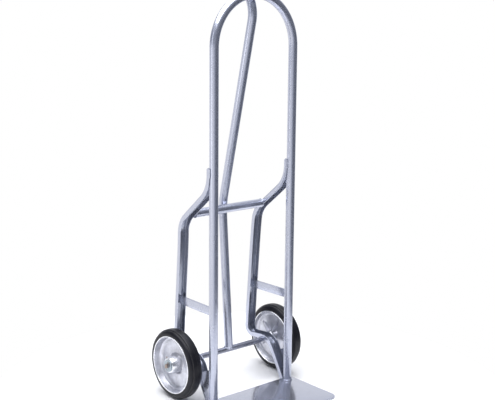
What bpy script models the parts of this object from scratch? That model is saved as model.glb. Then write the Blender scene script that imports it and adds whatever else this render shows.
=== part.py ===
"""Two-wheeled steel hand truck: loop front frame, curved pin handle, channel side rails,
toe plate and moulded-rubber wheels on a through axle.

Frame: +Z up, front (toe plate) towards -Y, origin on the floor below the uprights, midway between them.
All lengths are in metres.
"""
import math

import bmesh
import bpy
from mathutils import Matrix, Vector

# ---------------------------------------------------------------- driving dimensions
TUBE_RADIUS = 0.015875        # 1 1/4 inch tube
TUBE_WALL = 0.0021
TUBE_SIDES = 16
GAP = 0.0003                  # clearance left between touching pieces

PLATE_THICK = 0.0048
PLATE_HALF_WIDTH = 0.212
PLATE_REAR = 0.0200
PLATE_FRONT = -0.2390
PLATE_CORNER = 0.035

HALF_SPACING = 0.1783         # upright centre to middle of the truck
LOOP_TOP = 1.4250             # height of the loop's centreline at its apex

CHANNEL_WIDTH = 0.038         # side rail: rolled channel, open towards the front
CHANNEL_DEPTH = 0.0185
CHANNEL_WALL = 0.0028
CHANNEL_CORNER = 0.0045
RAIL_TOP = 0.845
RAIL_BOW = 0.006              # how far the rails bow towards each other at mid height
RAIL_END_ROUND = 0.0080       # round on the back corner of a rail's top end
END_TRIM = 0.0005             # how much the trimmed end is below the swept one
OVERCUT = 0.0003              # keeps a cutter's round from just grazing a flat face

AXLE_RADIUS = 0.00794         # 5/8 inch rod
AXLE_Y = 0.1353
AXLE_HALF_LENGTH = 0.2866
AXLE_TUBE_RADIUS = 0.0111     # 7/8 inch tube round the axle between the rails

WHEEL_RADIUS = 0.127          # 10 inch wheel
WHEEL_X = 0.2398
RIM_HALF_WIDTH = 0.0266
RIM_RADIUS = 0.1041
RIM_WALL = 0.0036
FLANGE_WIDTH = 0.0028         # the rim's two lips beside the tyre
DISH_LEDGE = 0.0042           # outward offsets of the dish's steps from the wheel's mid plane
DISH_FACE = -0.0028
DISC_WALL = 0.0056
WALL_FOOT = 0.0945            # radius where the dish's sloping wall meets its ledge
LEDGE_EDGE = 0.0900
DISC_EDGE = 0.0840
BARREL_RADIUS = 0.0262        # inner end of the boss
EDGE = 0.0005                 # small chamfers on turned pieces
HUB_HALF_LENGTH = 0.0349
HUB_BORE = 0.0146
WHEEL_STEPS = 40

CROSSBAR_Y = 0.1354
CROSSBAR_Z = 0.6650
STRAP_Z = 0.338
STRAP_HEIGHT = 0.03175
STRAP_THICK = 0.0048
GUSSET_TOP = 0.131
GUSSET_FALL = 0.45            # slope of the top edge, down towards the back
GUSSET_THICK = 0.0030
GRIP_WALL = 0.0026
GRIP_LENGTH = 0.112

WASHER_RADIUS = 0.0222        # 5/8 inch flat washer
WASHER_THICK = 0.0030
COTTER_WIRE = 0.0009
COTTER_HOLE = 0.0022
COTTER_X = WHEEL_X + HUB_HALF_LENGTH + 0.0068
COTTER_TURN = math.radians(20.0)
BOSS_TIP = (0.0265, 0.0337)   # (radius, outward offset) of the boss's slope
BOSS_BASE = (0.0360, 0.0010)
NIPPLE_ANGLE = math.radians(60.0)
RIB_COUNT = 5
RIB_THICK = 0.0055
RIB_START = math.radians(54.0)
ROLLER_COUNT = 10

AXLE_Z = WHEEL_RADIUS
PLATE_TOP = PLATE_THICK + GAP
SIDES = (("left", -1.0), ("right", 1.0))

# Corners of a side rail's outer (back) surface, as (y, z, bend radius), from top to foot.
RAIL_CORNERS = (
    (TUBE_RADIUS + GAP + CHANNEL_WALL, RAIL_TOP, 0.0),
    (TUBE_RADIUS + GAP + CHANNEL_WALL, 0.7735, 0.100),
    (0.1853, 0.6360, 0.100),
    (0.2233, 0.1268, 0.036),
    (0.0955, 0.1396, 0.050),
    (0.0180, -0.0020, 0.0),
)

# The centre tube's centreline below its handle, as (y, z, bend radius).
HANDLE_BEND = 0.100
HANDLE_START = (0.0168, 1.3340)
HANDLE_LEAN = math.radians(13.1)
HANDLE_END_ANGLE = math.radians(75.0)
HANDLE_STRAIGHT = 0.115
CENTRE_FOOT = (0.1306, 0.1300)
CENTRE_KNEE = (0.1717, 0.6719, 0.300)


# ---------------------------------------------------------------- scene helpers
def clear_scene():
    for thing in list(bpy.data.objects):
        bpy.data.objects.remove(thing, do_unlink=True)


def new_collection(name):
    collection = bpy.data.collections.new(name)
    bpy.context.scene.collection.children.link(collection)
    return collection


def finish(name, colour, roughness, metallic):
    """One plain Principled material."""
    material = bpy.data.materials.new(name)
    material.use_nodes = True
    shader = material.node_tree.nodes["Principled BSDF"]
    shader.inputs["Base Color"].default_value = (*colour, 1.0)
    shader.inputs["Roughness"].default_value = roughness
    shader.inputs["Metallic"].default_value = metallic
    return material


def give(thing, colour, roughness, metallic):
    thing.data.materials.clear()
    thing.data.materials.append(finish(thing.name + "_finish", colour, roughness, metallic))
    return thing


def silver_paint(thing):
    return give(thing, (0.52, 0.55, 0.62), 0.35, 0.6)


def cast_aluminium(thing):
    return give(thing, (0.70, 0.71, 0.73), 0.40, 0.9)


def black_rubber(thing):
    return give(thing, (0.02, 0.02, 0.023), 0.75, 0.0)


def zinc_plate(thing):
    return give(thing, (0.62, 0.63, 0.62), 0.35, 1.0)


def bare_steel(thing):
    return give(thing, (0.30, 0.27, 0.25), 0.45, 1.0)


def black_vinyl(thing):
    return give(thing, (0.03, 0.03, 0.03), 0.55, 0.0)


def add_mesh_object(name, mesh, collection):
    thing = bpy.data.objects.new(name, mesh)
    collection.objects.link(thing)
    return thing


def smooth(mesh, degrees=35.0):
    mesh.shade_smooth()
    mesh.set_sharp_from_angle(angle=math.radians(degrees))


def curve_to_mesh(curve_object, name, collection):
    """Turn a curve object into a welded mesh object of the same place."""
    bpy.context.view_layer.update()
    evaluated = curve_object.evaluated_get(bpy.context.evaluated_depsgraph_get())
    mesh = bpy.data.meshes.new_from_object(evaluated)
    work = bmesh.new()
    work.from_mesh(mesh)
    bmesh.ops.remove_doubles(work, verts=work.verts, dist=0.00001)
    work.to_mesh(mesh)
    work.free()
    smooth(mesh)
    thing = add_mesh_object(name, mesh, collection)
    thing.matrix_world = curve_object.matrix_world.copy()
    bpy.data.objects.remove(curve_object, do_unlink=True)
    return thing


def new_curve(name, dimensions="3D"):
    data = bpy.data.curves.new(name, "CURVE")
    data.dimensions = dimensions
    thing = bpy.data.objects.new(name, data)
    PARTS.objects.link(thing)
    return thing, data


def add_poly(data, points, closed=False):
    spline = data.splines.new("POLY")
    spline.points.add(len(points) - 1)
    for place, point in zip(spline.points, points):
        place.co = (*point, 1.0)
    spline.use_cyclic_u = closed
    return spline


def wire(name, points, radius, sides, capped=True):
    """A round rod or an open tube skin along a list of points."""
    thing, data = new_curve(name + "_path")
    data.bevel_depth = radius
    data.bevel_resolution = (sides - 4) // 2
    data.use_fill_caps = capped
    add_poly(data, points)
    return curve_to_mesh(thing, name, PARTS)


def hollow_tube(name, points):
    """A steel tube: the outer skin with its wall grown inwards."""
    tube = wire(name, points, TUBE_RADIUS, TUBE_SIDES, capped=False)
    wall = tube.modifiers.new("wall", "SOLIDIFY")
    wall.thickness = TUBE_WALL
    wall.offset = -1.0
    return tube


def flat_outline(name, outlines, thickness, collection=None):
    """A flat plate in the XY plane, centred on z = 0; the outlines after the first are holes."""
    thing, data = new_curve(name + "_outline", "2D")
    data.fill_mode = "BOTH"
    data.extrude = thickness / 2
    for outline in outlines:
        add_poly(data, [(x, y, 0.0) for x, y in outline], closed=True)
    return curve_to_mesh(thing, name, collection or PARTS)


def circle(radius, steps, start=0.0):
    turns = [start + 2 * math.pi * k / steps for k in range(steps)]
    return [(radius * math.cos(a), radius * math.sin(a)) for a in turns]


def turned(name, profile, steps=WHEEL_STEPS):
    """Turn a closed (radius, height) profile around Z with a Screw modifier."""
    mesh = bpy.data.meshes.new(name)
    points = [(radius, 0.0, height) for radius, height in profile]
    edges = [(k, (k + 1) % len(points)) for k in range(len(points))]
    mesh.from_pydata(points, edges, [])
    thing = add_mesh_object(name, mesh, PARTS)
    screw = thing.modifiers.new("turn", "SCREW")
    screw.axis = "Z"
    screw.angle = 2 * math.pi
    screw.steps = steps
    screw.render_steps = steps
    screw.use_merge_vertices = True
    screw.merge_threshold = 0.00001
    screw.use_smooth_shade = True
    return thing


def cutter(thing):
    thing.hide_render = True
    thing.display_type = "WIRE"
    for collection in list(thing.users_collection):
        collection.objects.unlink(thing)
    CUTTERS.objects.link(thing)
    return thing


def boolean(thing, other, operation="DIFFERENCE"):
    step = thing.modifiers.new(operation.lower(), "BOOLEAN")
    step.operation = operation
    step.solver = "EXACT"
    step.object = cutter(other)
    return step


def block(name, low, high):
    """A plain box between two corners."""
    mesh = bpy.data.meshes.new(name)
    work = bmesh.new()
    bmesh.ops.create_cube(work, size=1.0)
    size = Vector(high) - Vector(low)
    middle = (Vector(high) + Vector(low)) / 2
    place = Matrix.Translation(middle) @ Matrix.Diagonal((*size, 1.0))
    bmesh.ops.transform(work, matrix=place, verts=work.verts)
    work.to_mesh(mesh)
    work.free()
    return add_mesh_object(name, mesh, PARTS)


def rod_cutter(name, radius, length, steps=24):
    """A cylinder along X, centred on its origin."""
    mesh = bpy.data.meshes.new(name)
    work = bmesh.new()
    turn = Matrix.Rotation(math.pi / 2, 4, "Y")
    bmesh.ops.create_cone(
        work, cap_ends=True, segments=steps, radius1=radius, radius2=radius, depth=length, matrix=turn
    )
    work.to_mesh(mesh)
    work.free()
    return add_mesh_object(name, mesh, PARTS)


# ---------------------------------------------------------------- paths
def rounded_path(corners, step=math.radians(9.0)):
    """Points of a polyline in a plane whose corners, given as (u, v, radius), are arcs."""
    points = [Vector(corners[0][:2])]
    for before, corner, after in zip(corners, corners[1:], corners[2:]):
        here = Vector(corner[:2])
        radius = corner[2]
        inwards = (here - Vector(before[:2])).normalized()
        outwards = (Vector(after[:2]) - here).normalized()
        turn = inwards.angle_signed(outwards)
        reach = radius * math.tan(abs(turn) / 2)
        start = here - inwards * reach
        side = Vector((-inwards.y, inwards.x)) * (-1.0 if turn > 0 else 1.0)
        centre = start + side * radius
        count = max(2, round(abs(turn) / step))
        for k in range(count + 1):
            spoke = (start - centre).copy()
            spoke.rotate(Matrix.Rotation(-turn * k / count, 2))
            points.append(centre + spoke)
    points.append(Vector(corners[-1][:2]))
    return points


def spaced(points, longest):
    """The same path with extra points, so that no stretch is longer than this."""
    result = [points[0]]
    for start, end in zip(points, points[1:]):
        count = max(1, math.ceil((end - start).length / longest))
        result += [start.lerp(end, k / count) for k in range(1, count + 1)]
    return result


def ease(value):
    value = min(1.0, max(0.0, value))
    return value * value * (3.0 - 2.0 * value)


def rail_x(height):
    """Distance of a rail's middle plane from the truck's middle at a height."""
    rise = ease((height - 0.05) / 0.17)
    fall = ease((0.78 - height) / 0.28)
    return HALF_SPACING - RAIL_BOW * rise * fall


def rail_back_y(height):
    """How far back the outer surface of a rail's long run is at a height."""
    upper = RAIL_CORNERS[2]
    lower = RAIL_CORNERS[3]
    share = (height - lower[1]) / (upper[1] - lower[1])
    return lower[0] + (upper[0] - lower[0]) * share


# ---------------------------------------------------------------- frame
def make_loop_frame():
    centre_height = LOOP_TOP - HALF_SPACING
    count = 26
    points = [(-HALF_SPACING, 0.0, PLATE_TOP)]
    for k in range(count + 1):
        angle = math.pi * (1 - k / count)
        points.append((HALF_SPACING * math.cos(angle), 0.0, centre_height + HALF_SPACING * math.sin(angle)))
    points.append((HALF_SPACING, 0.0, PLATE_TOP))
    return silver_paint(hollow_tube("loop_frame", points))


def handle_path():
    """Centre tube: up from the axle, behind the crossbar, past the loop and back as the handle."""
    corners = ((*CENTRE_FOOT, 0.0), CENTRE_KNEE, (*HANDLE_START, 0.0))
    path = rounded_path(corners, step=math.radians(4.0))
    middle_y = HANDLE_START[0] + HANDLE_BEND * math.cos(HANDLE_LEAN)
    middle_z = HANDLE_START[1] + HANDLE_BEND * math.sin(HANDLE_LEAN)
    count = 11
    for k in range(1, count + 1):
        angle = -HANDLE_LEAN + (HANDLE_END_ANGLE + HANDLE_LEAN) * k / count
        y = middle_y - HANDLE_BEND * math.cos(angle)
        path.append(Vector((y, middle_z + HANDLE_BEND * math.sin(angle))))
    along = Vector((math.sin(HANDLE_END_ANGLE), math.cos(HANDLE_END_ANGLE)))
    path.append(path[-1] + along * HANDLE_STRAIGHT)
    return path, along


def make_centre_tube():
    path, _ = handle_path()
    tube = hollow_tube("centre_tube", [(0.0, y, z) for y, z in path])
    saddle = rod_cutter("centre_tube_saddle", AXLE_TUBE_RADIUS + GAP, 0.08)
    saddle.location = (0.0, AXLE_Y, AXLE_Z)
    boolean(tube, saddle)
    return silver_paint(tube)


def make_handle_grip():
    """A vinyl sleeve with a closed end, slid over the handle's straight."""
    path, along = handle_path()
    inner = TUBE_RADIUS + GAP
    outer = inner + GRIP_WALL
    end = GRIP_LENGTH - GRIP_WALL
    profile = [
        (outer, 0.003),
        (outer - 0.001, 0.0),
        (inner, 0.0),
        (inner, end),
        (0.0, end),
        (0.0, GRIP_LENGTH),
        (outer - 0.005, GRIP_LENGTH),
        (outer - 0.0015, GRIP_LENGTH - 0.0015),
        (outer, GRIP_LENGTH - 0.005),
    ]
    grip = turned("handle_grip", profile, steps=24)
    tip = path[-1] + along * (GAP - end)
    grip.location = (0.0, tip.x, tip.y)
    grip.rotation_euler = (-HANDLE_END_ANGLE, 0.0, 0.0)
    return black_vinyl(grip)


def make_side_rail(name, side):
    """A rolled channel swept down the rail's side view."""
    half = CHANNEL_WIDTH / 2
    inner = half - CHANNEL_WALL
    profile = channel_profile(half, inner)
    section, section_data = new_curve(name + "_section", "2D")
    add_poly(section_data, [(x, y, 0.0) for x, y in profile], closed=True)
    path = spaced(rounded_path(RAIL_CORNERS, math.radians(11.0)), 0.11)
    rail, data = new_curve(name + "_path")
    data.bevel_mode = "OBJECT"
    data.bevel_object = section
    data.use_fill_caps = True
    data.twist_mode = "MINIMUM"
    add_poly(data, [(0.0, y, z) for y, z in path])
    swept = curve_to_mesh(rail, name, PARTS)
    bpy.data.objects.remove(section, do_unlink=True)
    for vertex in swept.data.vertices:
        vertex.co.x += side * rail_x(vertex.co.z)
    boolean(swept, rail_end_cutter(name, side))
    low = (-0.3, -0.05, -0.02)
    boolean(swept, block(name + "_foot_cut", low, (0.3, 0.06, PLATE_TOP)))
    return silver_paint(swept)


def rail_end_cutter(name, side):
    """Everything above a rail's top end, which is square with its back corner rounded, in side view."""
    back = RAIL_CORNERS[0][0]
    level = RAIL_TOP - END_TRIM
    middle_y = back + OVERCUT - RAIL_END_ROUND
    middle_z = level - RAIL_END_ROUND
    turns = [math.pi / 2 * (1.0 - k / 6) for k in range(7)]
    arc = [(middle_y + RAIL_END_ROUND * math.cos(a), middle_z + RAIL_END_ROUND * math.sin(a)) for a in turns]
    above = RAIL_TOP + 0.03
    outline = [(-0.03, level)] + arc + [(back + 0.01, middle_z), (back + 0.01, above), (-0.03, above)]
    shape = flat_outline(name + "_end_cut", [outline], 0.06)
    shape.rotation_euler = (math.pi / 2, 0.0, math.pi / 2)
    shape.location = (side * HALF_SPACING, 0.0, 0.0)
    return shape


def channel_profile(half, inner):
    """The channel's section: x across, y from the web's outer face (0) down to the open side."""
    bend = CHANNEL_CORNER
    small = bend - CHANNEL_WALL
    outer_turns = [math.pi * (1.0 - k / 6) for k in range(4)]
    inner_turns = [math.pi * (0.5 + k / 4) for k in range(3)]
    left_outer = [(-half + bend + bend * math.cos(a), -bend + bend * math.sin(a)) for a in outer_turns]
    left_inner = [(-inner + small + small * math.cos(a), -bend + small * math.sin(a)) for a in inner_turns]
    right_outer = [(-x, y) for x, y in reversed(left_outer)]
    right_inner = [(-x, y) for x, y in reversed(left_inner)]
    depth = -CHANNEL_DEPTH
    return (
        [(-half, depth)] + left_outer + right_outer + [(half, depth), (inner, depth)]
        + right_inner + left_inner + [(-inner, depth)]
    )


def make_crossbar():
    """Round tube between the inner flanges of the two rails."""
    half = rail_x(CROSSBAR_Z - TUBE_RADIUS) - CHANNEL_WIDTH / 2 - GAP
    points = [(-half, CROSSBAR_Y, CROSSBAR_Z), (half, CROSSBAR_Y, CROSSBAR_Z)]
    return silver_paint(hollow_tube("crossbar", points))


def make_toe_plate():
    """Flat nose plate with rounded front corners."""
    corner = PLATE_CORNER
    turns = [math.pi / 2 * k / 8 for k in range(9)]
    right = [
        (PLATE_HALF_WIDTH - corner + corner * math.cos(a), PLATE_FRONT + corner - corner * math.sin(a))
        for a in turns
    ]
    left = [(-x, y) for x, y in reversed(right)]
    outline = [(PLATE_HALF_WIDTH, PLATE_REAR)] + right + left + [(-PLATE_HALF_WIDTH, PLATE_REAR)]
    plate = flat_outline("toe_plate", [outline], PLATE_THICK)
    plate.location = (0.0, 0.0, PLATE_THICK / 2)
    return silver_paint(plate)


def make_strap(name, side):
    """Flat bar on edge from the back of an upright into the channel, against its web."""
    front_y = TUBE_RADIUS + GAP
    back_y = rail_back_y(STRAP_Z + STRAP_HEIGHT / 2) - CHANNEL_WALL - 2 * GAP
    front_x = HALF_SPACING
    back_x = rail_x(STRAP_Z)
    lean = math.atan2(front_x - back_x, back_y - front_y)
    length = back_y - front_y
    half = STRAP_THICK / 2
    bar = block(name, (-half, 0.0, -STRAP_HEIGHT / 2), (half, length, STRAP_HEIGHT / 2))
    bar.location = (side * front_x, front_y, STRAP_Z)
    bar.rotation_euler = (0.0, 0.0, side * lean)
    return silver_paint(bar)


def make_gusset(name, side):
    """Plate in line with the rail's outer flange, closing the corner between it and the upright."""
    _, corner, foot = (Vector(point[:2]) for point in RAIL_CORNERS[3:])
    slope = (foot - corner).normalized()
    across = Vector((slope.y, -slope.x))
    line = corner + across * (CHANNEL_DEPTH + 2 * GAP)
    drift = slope.x / slope.y

    def on_flange(height):
        return line.x + drift * (height - line.y)

    back_top = (GUSSET_TOP + GUSSET_FALL * (drift * line.y - line.x)) / (1.0 + GUSSET_FALL * drift)
    low = -line.x / drift + line.y + 0.004
    outline = [(0.0, GUSSET_TOP), (0.0, low), (on_flange(low), low), (on_flange(back_top), back_top)]
    plate = flat_outline(name, [outline], GUSSET_THICK)
    plate.rotation_euler = (math.pi / 2, 0.0, math.pi / 2)
    middle = HALF_SPACING + TUBE_RADIUS + GAP + GUSSET_THICK / 2
    plate.location = (side * middle, 0.0, 0.0)
    return silver_paint(plate)


# ---------------------------------------------------------------- axle and wheels
def make_axle():
    axle = rod_cutter("axle", AXLE_RADIUS, 2 * AXLE_HALF_LENGTH, steps=28)
    axle.location = (0.0, AXLE_Y, AXLE_Z)
    edge = axle.modifiers.new("chamfer", "BEVEL")
    edge.width = 0.0012
    edge.segments = 1
    edge.limit_method = "ANGLE"
    for label, side in SIDES:
        hole = rod_cutter("axle_hole_" + label, COTTER_HOLE, 0.04, steps=12)
        hole.rotation_mode = "ZYX"
        hole.rotation_euler = (COTTER_TURN, math.pi / 2, 0.0)
        hole.location = (side * COTTER_X, AXLE_Y, AXLE_Z)
        boolean(axle, hole)
    return bare_steel(axle)


def make_axle_tube():
    """Spacer tube round the axle, between the inner flanges of the two rails."""
    length = 2 * (rail_x(AXLE_Z + AXLE_TUBE_RADIUS) - CHANNEL_WIDTH / 2 - GAP)
    tube = rod_cutter("axle_tube", AXLE_TUBE_RADIUS, length)
    tube.location = (0.0, AXLE_Y, AXLE_Z)
    bore = rod_cutter("axle_tube_bore", AXLE_RADIUS + GAP, length + 0.02)
    bore.location = (0.0, AXLE_Y, AXLE_Z)
    boolean(tube, bore)
    return silver_paint(tube)


def place_on_wheel(thing, side, offset=0.0):
    """Turn a part made around Z so that its +Z points outwards along the axle."""
    thing.rotation_euler = (0.0, side * math.pi / 2, 0.0)
    thing.location = (side * (WHEEL_X + offset), AXLE_Y, AXLE_Z)
    return thing


def hub_profile():
    """Closed (radius, outward offset) outline of the cast wheel, from the rim's outer lip inwards."""
    lip = RIM_HALF_WIDTH
    seat = RIM_HALF_WIDTH - FLANGE_WIDTH
    well = RIM_RADIUS - RIM_WALL
    back = DISH_FACE - DISC_WALL
    end = HUB_HALF_LENGTH
    rim = [
        (RIM_RADIUS - EDGE, lip),
        (RIM_RADIUS, lip - EDGE),
        (RIM_RADIUS, seat),
        (well, seat - 0.0030),
    ]
    inner_rim = [(radius, -offset) for radius, offset in reversed(rim)]
    inner_face = [
        (well + EDGE, -lip),
        (WALL_FOOT + 2 * EDGE, back - 0.0060),
        (LEDGE_EDGE, back - 0.0050),
        (DISC_EDGE + 2 * EDGE, back - EDGE),
        (BARREL_RADIUS + 0.0040, back),
        (BARREL_RADIUS + 2 * EDGE, back - 0.0030),
        (BARREL_RADIUS - EDGE, 2 * EDGE - end),
        (BARREL_RADIUS - 3 * EDGE, -end),
    ]
    outer_face = [
        (BARREL_RADIUS - 2 * EDGE, end),
        BOSS_TIP,
        BOSS_BASE,
        (BOSS_BASE[0] + 0.0040, DISH_FACE + EDGE),
        (DISC_EDGE, DISH_FACE),
        (LEDGE_EDGE, DISH_LEDGE - 2 * EDGE),
        (WALL_FOOT, DISH_LEDGE),
        (well + EDGE, lip),
    ]
    return rim + inner_rim + inner_face + [(HUB_BORE, -end), (HUB_BORE, end)] + outer_face


def make_hub(name, side):
    """Cast aluminium wheel: rim, stepped dish, boss and five ribs on the inner face."""
    hub = turned(name, hub_profile())
    for k in range(RIB_COUNT):
        rib = make_rib_shape(name + f"_rib_{k}", RIB_START + 2 * math.pi * k / RIB_COUNT)
        boolean(hub, place_on_wheel(rib, side), "UNION")
    return cast_aluminium(place_on_wheel(hub, side))


def make_rib_shape(name, angle):
    """One upright rib between the boss and the wall of the dish."""
    root = DISH_FACE - DISC_WALL + 0.0010
    free_edge = (BARREL_RADIUS, 0.0050 - HUB_HALF_LENGTH)
    outline = [(BARREL_RADIUS, root), (WALL_FOOT, root - 0.0030), (WALL_FOOT, root - 0.0080), free_edge]
    rib = flat_outline(name, [outline], RIB_THICK)
    rib.data.transform(Matrix.Rotation(angle, 4, "Z") @ Matrix.Rotation(math.pi / 2, 4, "X"))
    return rib


def tyre_profile():
    """Closed (radius, outward offset) outline: crowned tread between two stepped shoulders."""
    seat = RIM_HALF_WIDTH - FLANGE_WIDTH
    base = RIM_RADIUS + 0.0004
    half = [
        (base, seat + 0.0020),
        (0.1080, seat + 0.0025),
        (0.1150, seat + 0.0010),
        (0.1200, seat - 0.0020),
        (0.1222, 0.0188),
        (0.1220, 0.0160),
        (0.1256, 0.0134),
        (0.1266, 0.0060),
        (WHEEL_RADIUS, 0.0),
    ]
    mirrored = [(radius, -offset) for radius, offset in reversed(half[:-1])]
    low = base - RIM_WALL
    inside = [(base, 0.0003 - seat), (low, 0.0033 - seat), (low, seat - 0.0033), (base, seat - 0.0003)]
    return half + mirrored + inside


def make_tyre(name, side):
    return black_rubber(place_on_wheel(turned(name, tyre_profile()), side))


def make_roller_bearing(name, side):
    """Caged rollers between hub and axle, as one lobed sleeve."""
    steps = ROLLER_COUNT * 4
    lobes = []
    for k in range(steps):
        angle = 2 * math.pi * k / steps
        radius = HUB_BORE - GAP - 0.0009 * (1.0 - math.cos(ROLLER_COUNT * angle)) / 2
        lobes.append((radius * math.cos(angle), radius * math.sin(angle)))
    bore = circle(AXLE_RADIUS + 2 * GAP, 16)
    sleeve = flat_outline(name, [lobes, bore], 2 * HUB_HALF_LENGTH - 0.004)
    return bare_steel(place_on_wheel(sleeve, side))


def make_washer(name, side, offset):
    washer = flat_outline(name, [circle(WASHER_RADIUS, 28), circle(AXLE_RADIUS + GAP, 16)], WASHER_THICK)
    return zinc_plate(place_on_wheel(washer, side, offset))


def make_cotter_pin(name, side):
    """Split pin: an eye on top of the axle, two legs through it and their ends spread."""
    radius = COTTER_WIRE
    leg = radius + GAP / 2
    eye = 0.0034
    eye_height = AXLE_RADIUS + eye + 0.0014
    tip = -AXLE_RADIUS - 0.0015
    points = [(0.0, -0.0085, tip - 0.0050), (0.0, -0.0042, tip - 0.0025), (0.0, -leg, tip + 0.0008)]
    points += [(0.0, -leg, 0.0), (0.0, -leg, AXLE_RADIUS)]
    for k in range(9):
        angle = math.radians(-90 - 25 - (310 * k / 8))
        points.append((0.0, eye * math.cos(angle), eye_height + eye * math.sin(angle)))
    points += [(0.0, leg, AXLE_RADIUS), (0.0, leg, 0.0), (0.0, leg, tip + 0.0008)]
    points += [(0.0, 0.0042, tip - 0.0025), (0.0, 0.0085, tip - 0.0050)]
    pin = wire(name, points, radius, 8)
    pin.location = (side * COTTER_X, AXLE_Y, AXLE_Z)
    pin.rotation_euler = (COTTER_TURN, 0.0, 0.0)
    return bare_steel(pin)


def make_grease_fitting(name, side):
    """Small nipple standing on the slope of the boss."""
    profile = [
        (0.0, 0.0090),
        (0.0016, 0.0090),
        (0.0024, 0.0080),
        (0.0024, 0.0062),
        (0.0016, 0.0054),
        (0.0016, 0.0040),
        (0.0036, 0.0040),
        (0.0036, 0.0),
        (0.0, 0.0),
    ]
    nipple = turned(name, profile, steps=12)
    slope = math.atan2(BOSS_BASE[0] - BOSS_TIP[0], BOSS_TIP[1] - BOSS_BASE[1])
    radius = (BOSS_BASE[0] + BOSS_TIP[0]) / 2
    height = (BOSS_BASE[1] + BOSS_TIP[1]) / 2
    normal = Vector((math.cos(slope), 0.0, math.sin(slope)))
    seat = Vector((radius, 0.0, height)) + normal * 2 * GAP
    stand = Matrix.Translation(seat) @ Matrix.Rotation(math.pi / 2 - slope, 4, "Y")
    wheel = Matrix.Translation((side * WHEEL_X, AXLE_Y, AXLE_Z)) @ Matrix.Rotation(side * math.pi / 2, 4, "Y")
    nipple.matrix_world = wheel @ Matrix.Rotation(NIPPLE_ANGLE, 4, "Z") @ stand
    return bare_steel(nipple)


def make_wheel(label, side):
    make_hub(label + "_hub", side)
    make_tyre(label + "_tyre", side)
    make_roller_bearing(label + "_roller_bearing", side)
    reach = HUB_HALF_LENGTH + GAP + WASHER_THICK / 2
    make_washer(label + "_outer_washer", side, reach)
    make_washer(label + "_inner_washer", side, -reach)
    make_cotter_pin(label + "_cotter_pin", side)
    make_grease_fitting(label + "_grease_fitting", side)


clear_scene()
PARTS = new_collection("hand_truck")
CUTTERS = new_collection("hand_truck_cutters")
make_loop_frame()
make_centre_tube()
make_handle_grip()
make_crossbar()
make_toe_plate()
make_axle()
make_axle_tube()
for side_name, side_sign in SIDES:
    make_side_rail(side_name + "_side_rail", side_sign)
    make_strap(side_name + "_strap", side_sign)
    make_gusset(side_name + "_gusset", side_sign)
    make_wheel(side_name, side_sign)
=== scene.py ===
# %% [markdown]
# # A hand truck of bent tube, channel and cast wheels
# A hand truck is a welded frame on two wheels. The front is one steel tube bent into a tall loop, which the
# load leans on. A second tube runs up the back and bends over into a handle. Two channel rails carry the
# axle, and a flat toe plate slides under the load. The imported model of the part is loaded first: it gives
# every size and place, and the pieces made here take the place of its plain solids.

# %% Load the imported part
import math

import bmesh
import bpy
from mathutils import Matrix, Vector


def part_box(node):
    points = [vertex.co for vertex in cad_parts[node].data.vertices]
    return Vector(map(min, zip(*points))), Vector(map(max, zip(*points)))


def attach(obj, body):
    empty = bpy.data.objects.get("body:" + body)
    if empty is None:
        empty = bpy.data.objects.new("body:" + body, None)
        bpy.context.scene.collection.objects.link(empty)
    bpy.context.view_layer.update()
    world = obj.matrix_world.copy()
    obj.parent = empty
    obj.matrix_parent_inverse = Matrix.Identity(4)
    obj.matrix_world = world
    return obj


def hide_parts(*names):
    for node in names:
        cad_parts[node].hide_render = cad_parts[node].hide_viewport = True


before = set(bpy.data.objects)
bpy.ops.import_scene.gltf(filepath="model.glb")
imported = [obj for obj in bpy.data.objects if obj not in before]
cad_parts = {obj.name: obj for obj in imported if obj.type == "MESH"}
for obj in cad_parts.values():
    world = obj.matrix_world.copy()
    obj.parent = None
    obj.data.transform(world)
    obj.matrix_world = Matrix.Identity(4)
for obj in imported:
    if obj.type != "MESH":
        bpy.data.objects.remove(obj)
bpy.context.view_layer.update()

# %% [markdown]
# ## Sizes
# The frame's tubes, plate, axle and wheels are standard stock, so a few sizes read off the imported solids
# give the places of all the others. Reading them keeps this file in step with the part.

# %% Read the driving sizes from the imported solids
def size_of(node):
    low, high = (Vector(corner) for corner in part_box(node))
    return low, high, high - low


bar_low, bar_high, bar_size = size_of("crossbar")
loop_low, loop_high, loop_size = size_of("loop_frame")
plate_low, plate_high, plate_size = size_of("toe_plate")
axle_low, axle_high, axle_size = size_of("axle")
spacer_size = size_of("axle_tube")[2]
tyre_low, tyre_high, tyre_size = size_of("right_tyre")
hub_size = size_of("right_hub")[2]
strap_low, strap_high, strap_size = size_of("right_strap")
gusset_low, gusset_high, gusset_size = size_of("right_gusset")
washer_size = size_of("right_outer_washer")[2]

GAP = 0.0003
TUBE_RADIUS = loop_size.y / 2
HALF_SPACING = loop_high.x - TUBE_RADIUS
LOOP_TOP = loop_high.z - TUBE_RADIUS
PLATE_TOP = plate_high.z
AXLE_RADIUS = axle_size.z / 2
AXLE_Y = (axle_low.y + axle_high.y) / 2
AXLE_Z = (axle_low.z + axle_high.z) / 2
AXLE_HALF_LENGTH = axle_size.x / 2
SPACER_RADIUS = spacer_size.z / 2
WHEEL_RADIUS = tyre_size.z / 2
WHEEL_X = (tyre_low.x + tyre_high.x) / 2
HUB_HALF_LENGTH = hub_size.x / 2
SIDES = (("left", -1.0), ("right", 1.0))
print("tube", round(2000 * TUBE_RADIUS, 2), "mm, wheel", round(2000 * WHEEL_RADIUS, 1), "mm")

# %% [markdown]
# ## Camera
# The view is a little from the left, from about chest height, with a long lens, so that the uprights stay
# almost parallel. The camera is built from its three axes, which is easier to check than a set of turns.

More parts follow.
